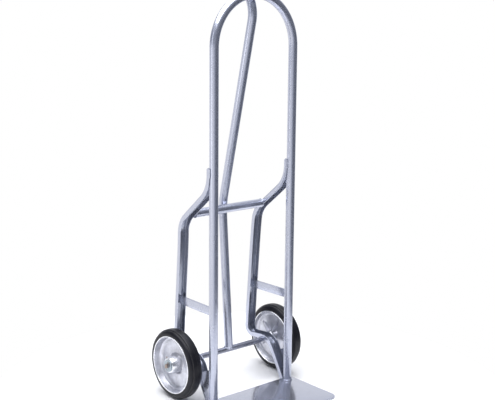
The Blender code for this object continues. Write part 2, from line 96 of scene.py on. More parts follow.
# %% Place the camera
CAMERA_PLACE = Vector((-2.2241, -2.5503, 1.3777))
CAMERA_TURN = math.radians(-40.7467)      # direction of the camera round the truck
CAMERA_TILT = math.radians(11.0803)       # how far the camera looks down
CAMERA_ROLL = math.radians(0.5242)
CAMERA_LENS = 71.257
CAMERA_SENSOR = 36.0


def camera_axes(turn, tilt, roll):
    back = Vector((math.sin(turn) * math.cos(tilt), -math.cos(turn) * math.cos(tilt), math.sin(tilt)))
    level = Vector((math.cos(turn), math.sin(turn), 0.0))
    upright = back.cross(level)
    right = math.cos(roll) * level + math.sin(roll) * upright
    up = math.cos(roll) * upright - math.sin(roll) * level
    return Matrix((right, up, back)).transposed()


camera_data = bpy.data.cameras.new("camera")
camera_data.lens = CAMERA_LENS
camera_data.sensor_width = CAMERA_SENSOR
camera_data.clip_end = 60.0
camera = bpy.data.objects.new("camera", camera_data)
bpy.context.scene.collection.objects.link(camera)
axes = camera_axes(CAMERA_TURN, CAMERA_TILT, CAMERA_ROLL).to_4x4()
camera.matrix_world = Matrix.Translation(CAMERA_PLACE) @ axes
bpy.context.scene.camera = camera
print("camera", round(CAMERA_PLACE.length, 2), "m from the truck's foot")

# %% [markdown]
# ## Node helpers
# A finish on real metal is never one colour: paint has flakes and dust, castings have grain, rubber has a
# bloom. Each finish below is a small node tree on Object coordinates, in metres, so the grain has its true
# size and stays on the piece when the wheel turns. These helpers only save repeating the same few nodes.

# %% Helpers that build finishes from nodes
def new_finish(name):
    finish = bpy.data.materials.new(name)
    finish.use_nodes = True
    nodes = finish.node_tree.nodes
    return finish, nodes, finish.node_tree.links, nodes["Principled BSDF"]


def place_pattern(nodes, links, stretch=(1.0, 1.0, 1.0)):
    """Object coordinates, stretched by a Mapping node."""
    where = nodes.new("ShaderNodeTexCoord")
    mapping = nodes.new("ShaderNodeMapping")
    mapping.inputs["Scale"].default_value = stretch
    links.new(where.outputs["Object"], mapping.inputs["Vector"])
    return mapping.outputs["Vector"]


def noise(nodes, links, vector, scale, detail=3.0, roughness=0.55, distortion=0.0):
    grain = nodes.new("ShaderNodeTexNoise")
    grain.inputs["Scale"].default_value = scale
    grain.inputs["Detail"].default_value = detail
    grain.inputs["Roughness"].default_value = roughness
    grain.inputs["Distortion"].default_value = distortion
    links.new(vector, grain.inputs["Vector"])
    return grain.outputs["Fac"]


def between(nodes, links, value, low, high, new_low=0.0, new_high=1.0):
    """Map a value's range on to another one, and hold it there."""
    ramp = nodes.new("ShaderNodeMapRange")
    ramp.inputs["From Min"].default_value = low
    ramp.inputs["From Max"].default_value = high
    ramp.inputs["To Min"].default_value = new_low
    ramp.inputs["To Max"].default_value = new_high
    links.new(value, ramp.inputs["Value"])
    return ramp.outputs["Result"]


def multiply(nodes, links, first, second):
    step = nodes.new("ShaderNodeMath")
    step.operation = "MULTIPLY"
    for socket, value in zip(step.inputs, (first, second)):
        if isinstance(value, float):
            socket.default_value = value
        else:
            links.new(value, socket)
    return step.outputs[0]


def add(nodes, links, first, second):
    step = nodes.new("ShaderNodeMath")
    step.operation = "ADD"
    links.new(first, step.inputs[0])
    links.new(second, step.inputs[1])
    return step.outputs[0]


def mix_colours(nodes, links, share, first, second):
    """Blend two colours, each a tuple or a socket, by a share from 0 to 1."""
    blend = nodes.new("ShaderNodeMix")
    blend.data_type = "RGBA"
    links.new(share, blend.inputs[0])
    for socket, value in ((blend.inputs[6], first), (blend.inputs[7], second)):
        if isinstance(value, tuple):
            socket.default_value = (*value, 1.0)
        else:
            links.new(value, socket)
    return blend.outputs[2]


def attribute(nodes, name):
    reader = nodes.new("ShaderNodeAttribute")
    reader.attribute_name = name
    return reader.outputs["Fac"]


def height_of(nodes, links):
    """The Z part of the object coordinates: height above the floor."""
    where = nodes.new("ShaderNodeTexCoord")
    split = nodes.new("ShaderNodeSeparateXYZ")
    links.new(where.outputs["Object"], split.inputs[0])
    return split.outputs["Z"]


def bump(nodes, links, shader, height, strength, distance):
    relief = nodes.new("ShaderNodeBump")
    relief.inputs["Strength"].default_value = strength
    relief.inputs["Distance"].default_value = distance
    links.new(height, relief.inputs["Height"])
    links.new(relief.outputs["Normal"], shader.inputs["Normal"])


print("finish helpers ready")

# %% [markdown]
# ## Silver paint
# The whole frame is sprayed in one silver-grey metallic paint. The flakes lie in a clear binder, so the
# colour is a soft metal under a thin glossy coat, with a slight orange-peel texture. The flat toe plate
# takes the paint more smoothly and has a few fine scratches along its length. The axle is sprayed with the
# frame, but its ends, which the wheels covered, stay bare. The inside of the channels and the spacer tube
# are darkened with painted shade. One function makes all the versions.

# %% Silver paint on tube, channel, plate, weld and axle
PAINT_LIGHT = (0.525, 0.55, 0.655)
PAINT_DARK = (0.485, 0.51, 0.615)
PAINT_SCRAPED = (0.66, 0.68, 0.72)
# painted shade: the darker colour given to the inside of the channels
PAINT_SHADE_IN_CHANNEL = (0.33, 0.35, 0.42)
# painted shade: the darker colour mixed into the spacer tube's paint
PAINT_SHADED = (0.30, 0.31, 0.37)
DUST = (0.40, 0.40, 0.42)
BARE_STEEL = (0.33, 0.29, 0.26)
RUST = (0.20, 0.085, 0.035)
FLAKE_SCALE = 1500.0
PEEL_SCALE = 260.0


def silver_paint(name, scrape=0.0, gloss=0.21, bare=False, shade_inside=False, shade_share=0.0):
    finish, nodes, links, shader = new_finish(name)
    plain = place_pattern(nodes, links)
    cloud = between(nodes, links, noise(nodes, links, plain, 7.0, 4.0), 0.35, 0.65)
    flakes = between(nodes, links, noise(nodes, links, plain, FLAKE_SCALE, 1.0), 0.42, 0.60)
    tone = add(nodes, links, multiply(nodes, links, cloud, 0.55), multiply(nodes, links, flakes, 0.45))
    colour = mix_colours(nodes, links, tone, PAINT_DARK, PAINT_LIGHT)
    # painted shade: the colour is darkened by this share
    if shade_share:
        shade_mix = between(nodes, links, tone, 0.0, 1.0, shade_share, shade_share * 0.8)
        colour = mix_colours(nodes, links, shade_mix, colour, PAINT_SHADED)
    low = between(nodes, links, height_of(nodes, links), 0.10, 0.0, 0.0, 0.18)
    patches = between(nodes, links, noise(nodes, links, plain, 60.0, 6.0, 0.7), 0.45, 0.70)
    dusty = multiply(nodes, links, low, patches)
    colour = mix_colours(nodes, links, dusty, colour, DUST)
    peel = noise(nodes, links, plain, PEEL_SCALE, 2.0)
    rough = between(nodes, links, noise(nodes, links, plain, 35.0, 5.0), 0.3, 0.7, gloss, gloss + 0.07)
    rough = add(nodes, links, rough, multiply(nodes, links, dusty, 0.25))
    if scrape:
        along = place_pattern(nodes, links, (1.0, 0.045, 1.0))
        lines = between(nodes, links, noise(nodes, links, along, 900.0, 2.0, 0.4), 0.66, 0.74, 0.0, scrape)
        colour = mix_colours(nodes, links, lines, colour, PAINT_SCRAPED)
        rough = add(nodes, links, rough, multiply(nodes, links, lines, 0.2))
    # painted shade: the inside of a channel is darkened
    if shade_inside:
        inside = attribute(nodes, "inside")
        colour = mix_colours(nodes, links, inside, colour, PAINT_SHADE_IN_CHANNEL)
    if bare:
        stains = between(nodes, links, noise(nodes, links, plain, 160.0, 6.0, 0.7), 0.40, 0.72)
        unpainted = attribute(nodes, "browned")
        steel = mix_colours(nodes, links, stains, BARE_STEEL, RUST)
        colour = mix_colours(nodes, links, unpainted, colour, steel)
        rough = add(nodes, links, rough, multiply(nodes, links, unpainted, 0.15))
    links.new(colour, shader.inputs["Base Color"])
    links.new(rough, shader.inputs["Roughness"])
    shader.inputs["Metallic"].default_value = 0.80
    shader.inputs["Coat Weight"].default_value = 0.60
    shader.inputs["Coat Roughness"].default_value = 0.05
    bump(nodes, links, shader, peel, 0.06, 0.0002)
    return finish


FRAME_PAINT = silver_paint("silver_paint")
# the channels get painted shade on their inside
RAIL_PAINT = silver_paint("silver_paint_on_channel", gloss=0.17, shade_inside=True)
PLATE_PAINT = silver_paint("silver_paint_scraped", scrape=0.20, gloss=0.13)
WELD_PAINT = silver_paint("silver_paint_over_weld", gloss=0.15)
AXLE_PAINT = silver_paint("silver_paint_on_axle", bare=True)
# painted shade darkens the spacer tube
SPACER_PAINT = silver_paint("silver_paint_on_spacer", shade_share=0.8)
print("paint over", PAINT_DARK, "to", PAINT_LIGHT)

# %% [markdown]
# ## Cast aluminium
# The wheel centres are cast, then turned only where the rim's lips and the boss's ends have to be true. The
# rest keeps the sandy skin of the mould, and is coloured darker, in patches, in the corners. The pieces carry
# how far each point is from the axle as an attribute, so the turned lip can be brighter and have lathe rings.

# %% Cast aluminium with turned lips
CAST_LIGHT = (0.74, 0.75, 0.82)
CAST_DARK = (0.48, 0.49, 0.54)
CORNER_DARK = (0.16, 0.14, 0.12)
TURNED = (0.86, 0.87, 0.90)


def cast_aluminium():
    finish, nodes, links, shader = new_finish("cast_aluminium")
    plain = place_pattern(nodes, links)
    skin = noise(nodes, links, plain, 420.0, 5.0, 0.65)
    blotch = between(nodes, links, noise(nodes, links, plain, 26.0, 4.0), 0.32, 0.68)
    colour = mix_colours(nodes, links, blotch, CAST_DARK, CAST_LIGHT)
    # the corners are coloured darker, in patches
    corners = attribute(nodes, "in_corner")
    corner_patches = between(nodes, links, noise(nodes, links, plain, 70.0, 6.0, 0.7), 0.35, 0.75, 0.15, 0.85)
    corner_darkening = multiply(nodes, links, corners, corner_patches)
    colour = mix_colours(nodes, links, corner_darkening, colour, CORNER_DARK)
    lip = attribute(nodes, "turned")
    colour = mix_colours(nodes, links, lip, colour, TURNED)
    rough = between(nodes, links, skin, 0.3, 0.7, 0.27, 0.36)
    smoother = between(nodes, links, lip, 0.0, 1.0, 1.0, 0.55)
    rings = nodes.new("ShaderNodeMath")
    rings.operation = "SINE"
    links.new(multiply(nodes, links, attribute(nodes, "from_axle"), 9000.0), rings.inputs[0])
    rings_on_lip = multiply(nodes, links, multiply(nodes, links, rings.outputs[0], 0.2), lip)
    links.new(colour, shader.inputs["Base Color"])
    links.new(multiply(nodes, links, rough, smoother), shader.inputs["Roughness"])
    shader.inputs["Metallic"].default_value = 0.85
    bump(nodes, links, shader, add(nodes, links, skin, rings_on_lip), 0.12, 0.0002)
    return finish


CAST = cast_aluminium()
print("cast finish ready")

# %% [markdown]
# ## Rubber and vinyl
# The tyre is hard black rubber straight from its mould: matt, faintly grey where it has bloomed, with pale
# dust held in the groove beside the tread. The grip is soft vinyl dipped over the tube, a little shinier.

# %% Black rubber for the tyres and vinyl for the grip
RUBBER = (0.003, 0.003, 0.006)
RUBBER_BLOOM = (0.011, 0.011, 0.017)
RUBBER_DUST = (0.09, 0.088, 0.09)


def black_rubber():
    finish, nodes, links, shader = new_finish("black_rubber")
    plain = place_pattern(nodes, links)
    bloom = between(nodes, links, noise(nodes, links, plain, 18.0, 5.0, 0.6), 0.38, 0.72)
    colour = mix_colours(nodes, links, bloom, RUBBER, RUBBER_BLOOM)
    settle = between(nodes, links, noise(nodes, links, plain, 120.0, 6.0, 0.7), 0.35, 0.75, 0.0, 0.8)
    dusty = multiply(nodes, links, attribute(nodes, "in_corner"), settle)
    colour = mix_colours(nodes, links, dusty, colour, RUBBER_DUST)
    from_axle = attribute(nodes, "from_axle")
    tread = between(nodes, links, from_axle, WHEEL_RADIUS - 0.002, WHEEL_RADIUS, 0.0, 0.20)
    colour = mix_colours(nodes, links, multiply(nodes, links, tread, settle), colour, RUBBER_DUST)
    fine = noise(nodes, links, plain, 900.0, 3.0)
    links.new(colour, shader.inputs["Base Color"])
    links.new(between(nodes, links, fine, 0.3, 0.7, 0.30, 0.42), shader.inputs["Roughness"])
    shader.inputs["Specular IOR Level"].default_value = 0.29
    bump(nodes, links, shader, fine, 0.25, 0.00025)
    return finish


def black_vinyl():
    finish, nodes, links, shader = new_finish("black_vinyl")
    plain = place_pattern(nodes, links)
    worn = between(nodes, links, noise(nodes, links, plain, 40.0, 4.0), 0.4, 0.7)
    colour = mix_colours(nodes, links, worn, (0.022, 0.022, 0.024), (0.05, 0.05, 0.052))
    pores = noise(nodes, links, plain, 1300.0, 2.0)
    links.new(colour, shader.inputs["Base Color"])
    links.new(between(nodes, links, worn, 0.0, 1.0, 0.52, 0.36), shader.inputs["Roughness"])
    bump(nodes, links, shader, pores, 0.3, 0.0002)
    return finish


TYRE_RUBBER = black_rubber()
GRIP_VINYL = black_vinyl()
print("rubber finishes ready")

# %% [markdown]
# ## Plain and plated steel
# The washers are zinc plated, and the split pins, grease fittings and bearings are plain steel. All are one
# idea: finely streaked metal, browned here and there by a noise pattern.

# %% Steel finishes
def steel(name, light, dark, rust, gloss, streak=(1.0, 1.0, 1.0)):
    finish, nodes, links, shader = new_finish(name)
    plain = place_pattern(nodes, links)
    drawn = noise(nodes, links, place_pattern(nodes, links, streak), 500.0, 3.0)
    colour = mix_colours(nodes, links, between(nodes, links, drawn, 0.35, 0.65), dark, light)
    spots = between(nodes, links, noise(nodes, links, plain, 160.0, 6.0, 0.7), 0.62 - 0.35 * rust, 0.72)
    browned = multiply(nodes, links, spots, attribute(nodes, "browned"))
    colour = mix_colours(nodes, links, browned, colour, RUST)
    rough = between(nodes, links, drawn, 0.3, 0.7, gloss, gloss + 0.15)
    rough = add(nodes, links, rough, multiply(nodes, links, browned, 0.3))
    links.new(colour, shader.inputs["Base Color"])
    links.new(rough, shader.inputs["Roughness"])
    shader.inputs["Metallic"].default_value = 0.85
    bump(nodes, links, shader, drawn, 0.2, 0.0001)
    return finish


ZINC = steel("zinc_plate", (0.46, 0.52, 0.56), (0.28, 0.33, 0.37), 0.2, 0.24)
PLAIN_STEEL = steel("plain_steel", (0.45, 0.42, 0.40), (0.28, 0.25, 0.23), 0.6, 0.40)
BEARING_STEEL = steel("bearing_steel", (0.62, 0.62, 0.63), (0.40, 0.40, 0.41), 0.1, 0.28)
print("steel finishes ready")

# %% [markdown]
# ## Shape helpers
# Three ways of making a shape cover nearly everything here. Bent tubes, rods and wires are a round section
# run along a path. Wheels, tyres and washers are an outline turned round the axle. Plates and bars are a
# flat outline given a thickness. Corners are always rounded a little, because a sharp edge on real metal
# has a small radius that catches the light.

# %% Helpers that work out paths and outlines
def arc_points(before, corner, after, radius, step):
    """The arc of this radius that rounds one corner of a path."""
    inwards = (corner - before).normalized()
    outwards = (after - corner).normalized()
    turn = inwards.angle_signed(outwards, 0.0)
    if radius <= 0.0 or abs(turn) < 0.001:
        return [corner]
    reach = radius * math.tan(abs(turn) / 2)
    start = corner - inwards * reach
    side = Vector((-inwards.y, inwards.x)) * (-1.0 if turn > 0 else 1.0)
    centre = start + side * radius
    count = max(2, round(abs(turn) / step))
    spoke = start - centre
    return [centre + Matrix.Rotation(-turn * k / count, 2) @ spoke for k in range(count + 1)]


def rounded_path(corners, step=math.radians(3.0)):
    """An open path through (u, v, radius) corners."""
    flat = [Vector(corner[:2]) for corner in corners]
    points = [flat[0]]
    for k in range(1, len(corners) - 1):
        points += arc_points(flat[k - 1], flat[k], flat[k + 1], corners[k][2], step)
    return points + [flat[-1]]


def rounded_loop(corners, step=math.radians(18.0)):
    """A closed outline through (u, v, radius) corners."""
    flat = [Vector(corner[:2]) for corner in corners]
    points = []
    for k, corner in enumerate(corners):
        points += arc_points(flat[k - 1], flat[k], flat[(k + 1) % len(flat)], corner[2], step)
    return points


def spaced(points, longest):
    """The same path, with no stretch longer than this."""
    result = [points[0]]
    for start, end in zip(points, points[1:]):
        count = max(1, math.ceil((end - start).length / longest))
        result += [start.lerp(end, k / count) for k in range(1, count + 1)]
    return result


def circle_points(centre, across, along, radius, start=0.0, sweep=2 * math.pi, count=40):
    """Points of an arc in the plane of two unit directions."""
    turns = [start + sweep * k / count for k in range(count + 1)]
    return [centre + radius * (math.cos(a) * across + math.sin(a) * along) for a in turns]


print("path helpers ready")

# %% Helpers that turn outlines into meshes
def new_mesh(name, points, faces, edges=()):
    mesh = bpy.data.meshes.new(name)
    mesh.from_pydata([tuple(point) for point in points], list(edges), list(faces))
    return mesh


def tidy(mesh, sharp_over=35.0, merge=0.000005):
    """Merge doubles, point the faces outwards and shade round surfaces smooth."""
    work = bmesh.new()
    work.from_mesh(mesh)
    bmesh.ops.remove_doubles(work, verts=work.verts, dist=merge)
    bmesh.ops.recalc_face_normals(work, faces=work.faces)
    work.to_mesh(mesh)
    work.free()
    mesh.shade_smooth()
    mesh.set_sharp_from_angle(angle=math.radians(sharp_over))
    return mesh


def turned(name, outline, steps=144):
    """A closed (radius, offset) outline turned round Z."""
    count = len(outline)
    points = []
    for k in range(steps):
        a = 2 * math.pi * k / steps
        points += [(u * math.cos(a), u * math.sin(a), v) for u, v in outline]
    faces = []
    for k in range(steps):
        here = k * count
        there = ((k + 1) % steps) * count
        for j in range(count):
            nxt = (j + 1) % count
            faces.append((here + j, there + j, there + nxt, here + nxt))
    return tidy(new_mesh(name, points, faces))


def plate_mesh(name, outline, thickness):
    """A flat outline in XY with this thickness, centred on z = 0."""
    count = len(outline)
    points = [(u, v, -thickness / 2) for u, v in outline]
    points += [(u, v, thickness / 2) for u, v in outline]
    faces = [tuple(range(count))[::-1], tuple(range(count, 2 * count))]
    for j in range(count):
        nxt = (j + 1) % count
        faces.append((j, nxt, count + nxt, count + j))
    return tidy(new_mesh(name, points, faces))


def put(mesh, matrix):
    mesh.transform(matrix)
    return mesh


def show(mesh, finish):
    """A new object for a finished mesh, at the origin, with its finish."""
    piece = bpy.data.objects.new(mesh.name, mesh)
    bpy.context.scene.collection.objects.link(piece)
    mesh.materials.clear()
    mesh.materials.append(finish)
    return piece


def baked(piece, finish):
    """Replace a piece by the plain mesh that its modifiers make."""
    bpy.context.view_layer.update()
    seen = piece.evaluated_get(bpy.context.evaluated_depsgraph_get())
    mesh = bpy.data.meshes.new_from_object(seen)
    name = piece.name
    bpy.data.objects.remove(piece, do_unlink=True)
    mesh.name = name
    mesh.shade_smooth()
    mesh.set_sharp_from_angle(angle=math.radians(35.0))
    return show(mesh, finish)


def soft_edges(piece, width, segments=3, degrees=30.0):
    """A live Bevel that rounds the sharp edges."""
    edge = piece.modifiers.new("rounded edges", "BEVEL")
    edge.width = width
    edge.segments = segments
    edge.limit_method = "ANGLE"
    edge.angle_limit = math.radians(degrees)
    edge.use_clamp_overlap = True
    return piece


def settle(piece, body, slot, *solids):
    """Say which body a piece rides on and which plain solids it stands for; the slot is not used."""
    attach(piece, body)
    if solids:
        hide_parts(*solids)
    return piece


print("mesh helpers ready")

# %% [markdown]
# ## Two Geometry Nodes trees
# A bent tube could be a curve with a bevel, but a small node tree does the same on any chain of edges, and
# its radius and number of sides are named inputs. The second tree lays a weld: a bead is a row of
# overlapping puddles, so it divides a path into short equal steps, swells or narrows the section at each
# step by a seeded random value, and sweeps it. Both trees end by making real faces with a finish.

# %% Build the node trees
def new_tree(name, inputs):
    """An empty Geometry Nodes tree with named inputs after the geometry."""
    tree = bpy.data.node_groups.new(name, "GeometryNodeTree")
    tree.interface.new_socket("Geometry", in_out="INPUT", socket_type="NodeSocketGeometry")
    for label, kind in inputs:
        tree.interface.new_socket(label, in_out="INPUT", socket_type=kind)
    tree.interface.new_socket("Geometry", in_out="OUTPUT", socket_type="NodeSocketGeometry")
    start = tree.nodes.new("NodeGroupInput")
    end = tree.nodes.new("NodeGroupOutput")
    return tree, tree.nodes, tree.links, start, end


def end_tree(nodes, links, start, end, geometry):
    """Realize Instances, shade smooth and Set Material."""
    real = nodes.new("GeometryNodeRealizeInstances")
    smooth = nodes.new("GeometryNodeSetShadeSmooth")
    coat = nodes.new("GeometryNodeSetMaterial")
    links.new(geometry, real.inputs["Geometry"])
    links.new(real.outputs["Geometry"], smooth.inputs["Geometry"])
    links.new(smooth.outputs["Geometry"], coat.inputs["Geometry"])
    links.new(start.outputs["Finish"], coat.inputs["Material"])
    links.new(coat.outputs["Geometry"], end.inputs["Geometry"])


def tube_tree():
    inputs = (("Radius", "NodeSocketFloat"), ("Sides", "NodeSocketInt"), ("Finish", "NodeSocketMaterial"))
    tree, nodes, links, start, end = new_tree("round section along a path", inputs)
    path = nodes.new("GeometryNodeMeshToCurve")
    section = nodes.new("GeometryNodeCurvePrimitiveCircle")
    sweep = nodes.new("GeometryNodeCurveToMesh")
    sweep.inputs["Fill Caps"].default_value = True
    links.new(start.outputs["Geometry"], path.inputs["Mesh"])
    links.new(start.outputs["Radius"], section.inputs["Radius"])
    links.new(start.outputs["Sides"], section.inputs["Resolution"])
    links.new(path.outputs["Curve"], sweep.inputs["Curve"])
    links.new(section.outputs["Curve"], sweep.inputs["Profile Curve"])
    end_tree(nodes, links, start, end, sweep.outputs["Mesh"])
    return tree


def weld_tree():
    inputs = (
        ("Radius", "NodeSocketFloat"),
        ("Pitch", "NodeSocketFloat"),
        ("Seed", "NodeSocketInt"),
        ("Finish", "NodeSocketMaterial"),
    )
    tree, nodes, links, start, end = new_tree("weld bead along a path", inputs)
    path = nodes.new("GeometryNodeMeshToCurve")
    steps = nodes.new("GeometryNodeResampleCurve")
    steps.mode = "LENGTH"
    ripple = nodes.new("FunctionNodeRandomValue")
    ripple.data_type = "FLOAT"
    ripple.inputs[2].default_value = 0.84
    ripple.inputs[3].default_value = 1.12
    section = nodes.new("GeometryNodeCurvePrimitiveCircle")
    section.inputs["Resolution"].default_value = 12
    bead = nodes.new("GeometryNodeCurveToMesh")
    bead.inputs["Fill Caps"].default_value = True
    links.new(start.outputs["Geometry"], path.inputs["Mesh"])
    links.new(path.outputs["Curve"], steps.inputs["Curve"])
    links.new(start.outputs["Pitch"], steps.inputs["Length"])
    links.new(start.outputs["Radius"], section.inputs["Radius"])
    links.new(start.outputs["Seed"], ripple.inputs["Seed"])
    links.new(steps.outputs["Curve"], bead.inputs["Curve"])
    links.new(section.outputs["Curve"], bead.inputs["Profile Curve"])
    links.new(ripple.outputs[1], bead.inputs["Scale"])
    end_tree(nodes, links, start, end, bead.outputs["Mesh"])
    return tree


TUBE_TREE = tube_tree()
WELD_TREE = weld_tree()


def run_tree(name, paths, tree, finish, **values):
    """Give a tree some paths and its named values, and keep the plain mesh it makes."""
    points = []
    edges = []
    for path in paths:
        first = len(points)
        points += list(path)
        edges += [(first + k, first + k + 1) for k in range(len(path) - 1)]
    guide = bpy.data.objects.new(name, new_mesh(name + "_path", points, [], edges))
    bpy.context.scene.collection.objects.link(guide)
    step = guide.modifiers.new("make", "NODES")
    step.node_group = tree
    for item in tree.interface.items_tree:
        if item.in_out == "INPUT" and item.name in values:
            step[item.identifier] = values[item.name]
        if item.in_out == "INPUT" and item.name == "Finish":
            step[item.identifier] = finish
    return baked(guide, finish)


print("trees:", TUBE_TREE.name, "and", WELD_TREE.name)

# %% [markdown]
# ## Front loop
# The front of the frame is one length of tube bent to a half circle at the top, with both ends standing on
# the toe plate. It could be two cylinders and half a torus, but one path keeps the tube's skin unbroken.

# %% Make the front loop
TUBE_SIDES = 48


def loop_path():
    """Up the left upright, round the top and down the right upright."""
    centre = Vector((0.0, 0.0, LOOP_TOP - HALF_SPACING))
    west = Vector((-1.0, 0.0, 0.0))
    upward = Vector((0.0, 0.0, 1.0))
    over = circle_points(centre, west, upward, HALF_SPACING, 0.0, math.pi, 72)
    left_foot = Vector((-HALF_SPACING, 0.0, loop_low.z))
    right_foot = Vector((HALF_SPACING, 0.0, loop_low.z))
    return spaced([left_foot] + over + [right_foot], 0.05)


loop = run_tree("front_loop", [loop_path()], TUBE_TREE, FRAME_PAINT, Radius=TUBE_RADIUS, Sides=TUBE_SIDES)
settle(loop, "frame", "silver_paint", "loop_frame")
print("front loop", len(loop.data.polygons), "faces")

# %% [markdown]
# ## Centre tube and handle
# The centre tube is coped over the axle, leans back to the crossbar, bends forward, passes behind the top
# of the loop and turns back to the user's hand. Its side view is a path of straight runs and arcs.

# %% Make the centre tube and its handle
HANDLE_BEND = 0.100
HANDLE_START = (0.0168, 1.3340)
HANDLE_LEAN = math.radians(13.1)
HANDLE_END_ANGLE = math.radians(75.0)
HANDLE_STRAIGHT = 0.115
CENTRE_FOOT = (0.1306, 0.1300)
CENTRE_KNEE = (0.1717, 0.6719, 0.300)


def centre_tube_path():
    corners = ((*CENTRE_FOOT, 0.0), CENTRE_KNEE, (*HANDLE_START, 0.0))
    flat = rounded_path(corners, step=math.radians(1.0))
    middle = Vector(HANDLE_START) + HANDLE_BEND * Vector((math.cos(HANDLE_LEAN), math.sin(HANDLE_LEAN)))
    count = 36
    for k in range(1, count + 1):
        angle = -HANDLE_LEAN + (HANDLE_END_ANGLE + HANDLE_LEAN) * k / count
        flat.append(middle + HANDLE_BEND * Vector((-math.cos(angle), math.sin(angle))))
    along = Vector((math.sin(HANDLE_END_ANGLE), math.cos(HANDLE_END_ANGLE)))
    flat.append(flat[-1] + along * HANDLE_STRAIGHT)
    return [Vector((0.0, point.x, point.y)) for point in spaced(flat, 0.05)], Vector((0.0, along.x, along.y))


def cope(tube, finish):
    """Cut the tube's foot to sit on the spacer tube."""
    radius = SPACER_RADIUS + GAP
    rod = turned("cope", [(0.0, -0.04), (radius, -0.04), (radius, 0.04), (0.0, 0.04)], 64)
    put(rod, Matrix.Translation((0.0, AXLE_Y, AXLE_Z)) @ Matrix.Rotation(math.pi / 2, 4, "Y"))
    tool = show(rod, finish)
    cut = tube.modifiers.new("cope", "BOOLEAN")
    cut.operation = "DIFFERENCE"
    cut.solver = "EXACT"
    cut.object = tool
    result = baked(tube, finish)
    bpy.data.objects.remove(tool, do_unlink=True)
    return result


centre_path, handle_direction = centre_tube_path()
centre = run_tree("centre_tube_bent", [centre_path], TUBE_TREE, FRAME_PAINT,
                  Radius=TUBE_RADIUS, Sides=TUBE_SIDES)
centre = cope(centre, FRAME_PAINT)
settle(centre, "frame", "silver_paint", "centre_tube")
print("centre tube top", [round(v, 4) for v in centre_path[-1]])

# %% [markdown]
# ## Crossbar
# A straight tube between the two rails, just in front of the centre tube's knee.

# %% Make the crossbar
BAR_Y = (bar_low.y + bar_high.y) / 2
BAR_Z = (bar_low.z + bar_high.z) / 2
bar_ends = [Vector((bar_low.x, BAR_Y, BAR_Z)), Vector((bar_high.x, BAR_Y, BAR_Z))]
crossbar = run_tree(
    "crossbar_tube", [spaced(bar_ends, 0.05)], TUBE_TREE, FRAME_PAINT, Radius=TUBE_RADIUS, Sides=TUBE_SIDES
)
settle(crossbar, "frame", "silver_paint", "crossbar")
print("crossbar", round(bar_size.x * 1000), "mm long")

# %% [markdown]
# ## Side rails
# Each rail is a rolled channel, open towards the front, bent to a side view of straights and arcs and bowed
# a little towards its twin. The channel's section is lofted down the path, with more sections where it
# bends. The top end has its back corner cut round and the foot is cut level with the toe plate, by two
# Boolean steps.

# %% Make the side rails
CHANNEL_WIDTH = 0.038
CHANNEL_DEPTH = 0.0185
CHANNEL_WALL = 0.0028
CHANNEL_CORNER = 0.0045
CHANNEL_EDGE = 0.0009
RAIL_BOW = 0.006
RAIL_BACK = TUBE_RADIUS + GAP + CHANNEL_WALL
RAIL_TOP = 0.845
RAIL_END_ROUND = 0.0080
RAIL_END_TRIM = 0.0005
RAIL_SHOULDER = (RAIL_BACK, 0.7735, 0.100)
RAIL_KNEE = (0.1853, 0.6360, 0.100)
RAIL_HEEL = (0.2233, 0.1268, 0.036)
RAIL_TOE = (0.0955, 0.1396, 0.050)
RAIL_FOOT = (0.0180, -0.0020, 0.0)
RAIL_CORNERS = ((RAIL_BACK, RAIL_TOP, 0.0), RAIL_SHOULDER, RAIL_KNEE, RAIL_HEEL, RAIL_TOE, RAIL_FOOT)


def ease(value):
    value = min(1.0, max(0.0, value))
    return value * value * (3.0 - 2.0 * value)


def rail_x(height):
    """Distance of a rail's middle plane from the truck's middle at a height."""
    return HALF_SPACING - RAIL_BOW * ease((height - 0.05) / 0.17) * ease((0.78 - height) / 0.28)


def channel_section():
    half = CHANNEL_WIDTH / 2
    inner = half - CHANNEL_WALL
    small = CHANNEL_CORNER - CHANNEL_WALL
    return rounded_loop((
        (-half, CHANNEL_DEPTH, CHANNEL_EDGE),
        (-half, 0.0, CHANNEL_CORNER),
        (half, 0.0, CHANNEL_CORNER),
        (half, CHANNEL_DEPTH, CHANNEL_EDGE),
        (inner, CHANNEL_DEPTH, CHANNEL_EDGE),
        (inner, CHANNEL_WALL, small),
        (-inner, CHANNEL_WALL, small),
        (-inner, CHANNEL_DEPTH, CHANNEL_EDGE),
    ))


def rail_mesh(name, side):
    section = channel_section()
    path = spaced(rounded_path(RAIL_CORNERS, math.radians(4.0)), 0.02)
    count = len(section)
    points = []
    for k, here in enumerate(path):
        before = path[max(k - 1, 0)]
        after = path[min(k + 1, len(path) - 1)]
        first = (here - before).normalized() if k else (after - here).normalized()
        second = (after - here).normalized() if k < len(path) - 1 else first
        along = (first + second).normalized()
        stretch = 1.0 / max(0.5, along.dot(second))
        forward = Vector((along.y, -along.x)) * stretch
        for across, depth in section:
            y, z = here + forward * depth
            points.append((side * rail_x(z) + across, y, z))
    faces = [tuple(range(count)), tuple(range(len(points) - count, len(points)))[::-1]]
    for k in range(len(path) - 1):
        here = k * count
        there = here + count
        for j in range(count):
            nxt = (j + 1) % count
            faces.append((here + j, here + nxt, there + nxt, there + j))
    mesh = new_mesh(name, points, faces)
    # marks the inside of the channel, where the colour is darkened as painted shade
    values = mesh.attributes.new("inside", "FLOAT", "POINT")
    within = CHANNEL_WIDTH / 2 - CHANNEL_WALL + GAP
    hollow = [1.0 if abs(across) < within and depth > CHANNEL_WALL - GAP else 0.0
              for across, depth in section]
    for k, entry in enumerate(values.data):
        entry.value = hollow[k % count]
    return tidy(mesh)


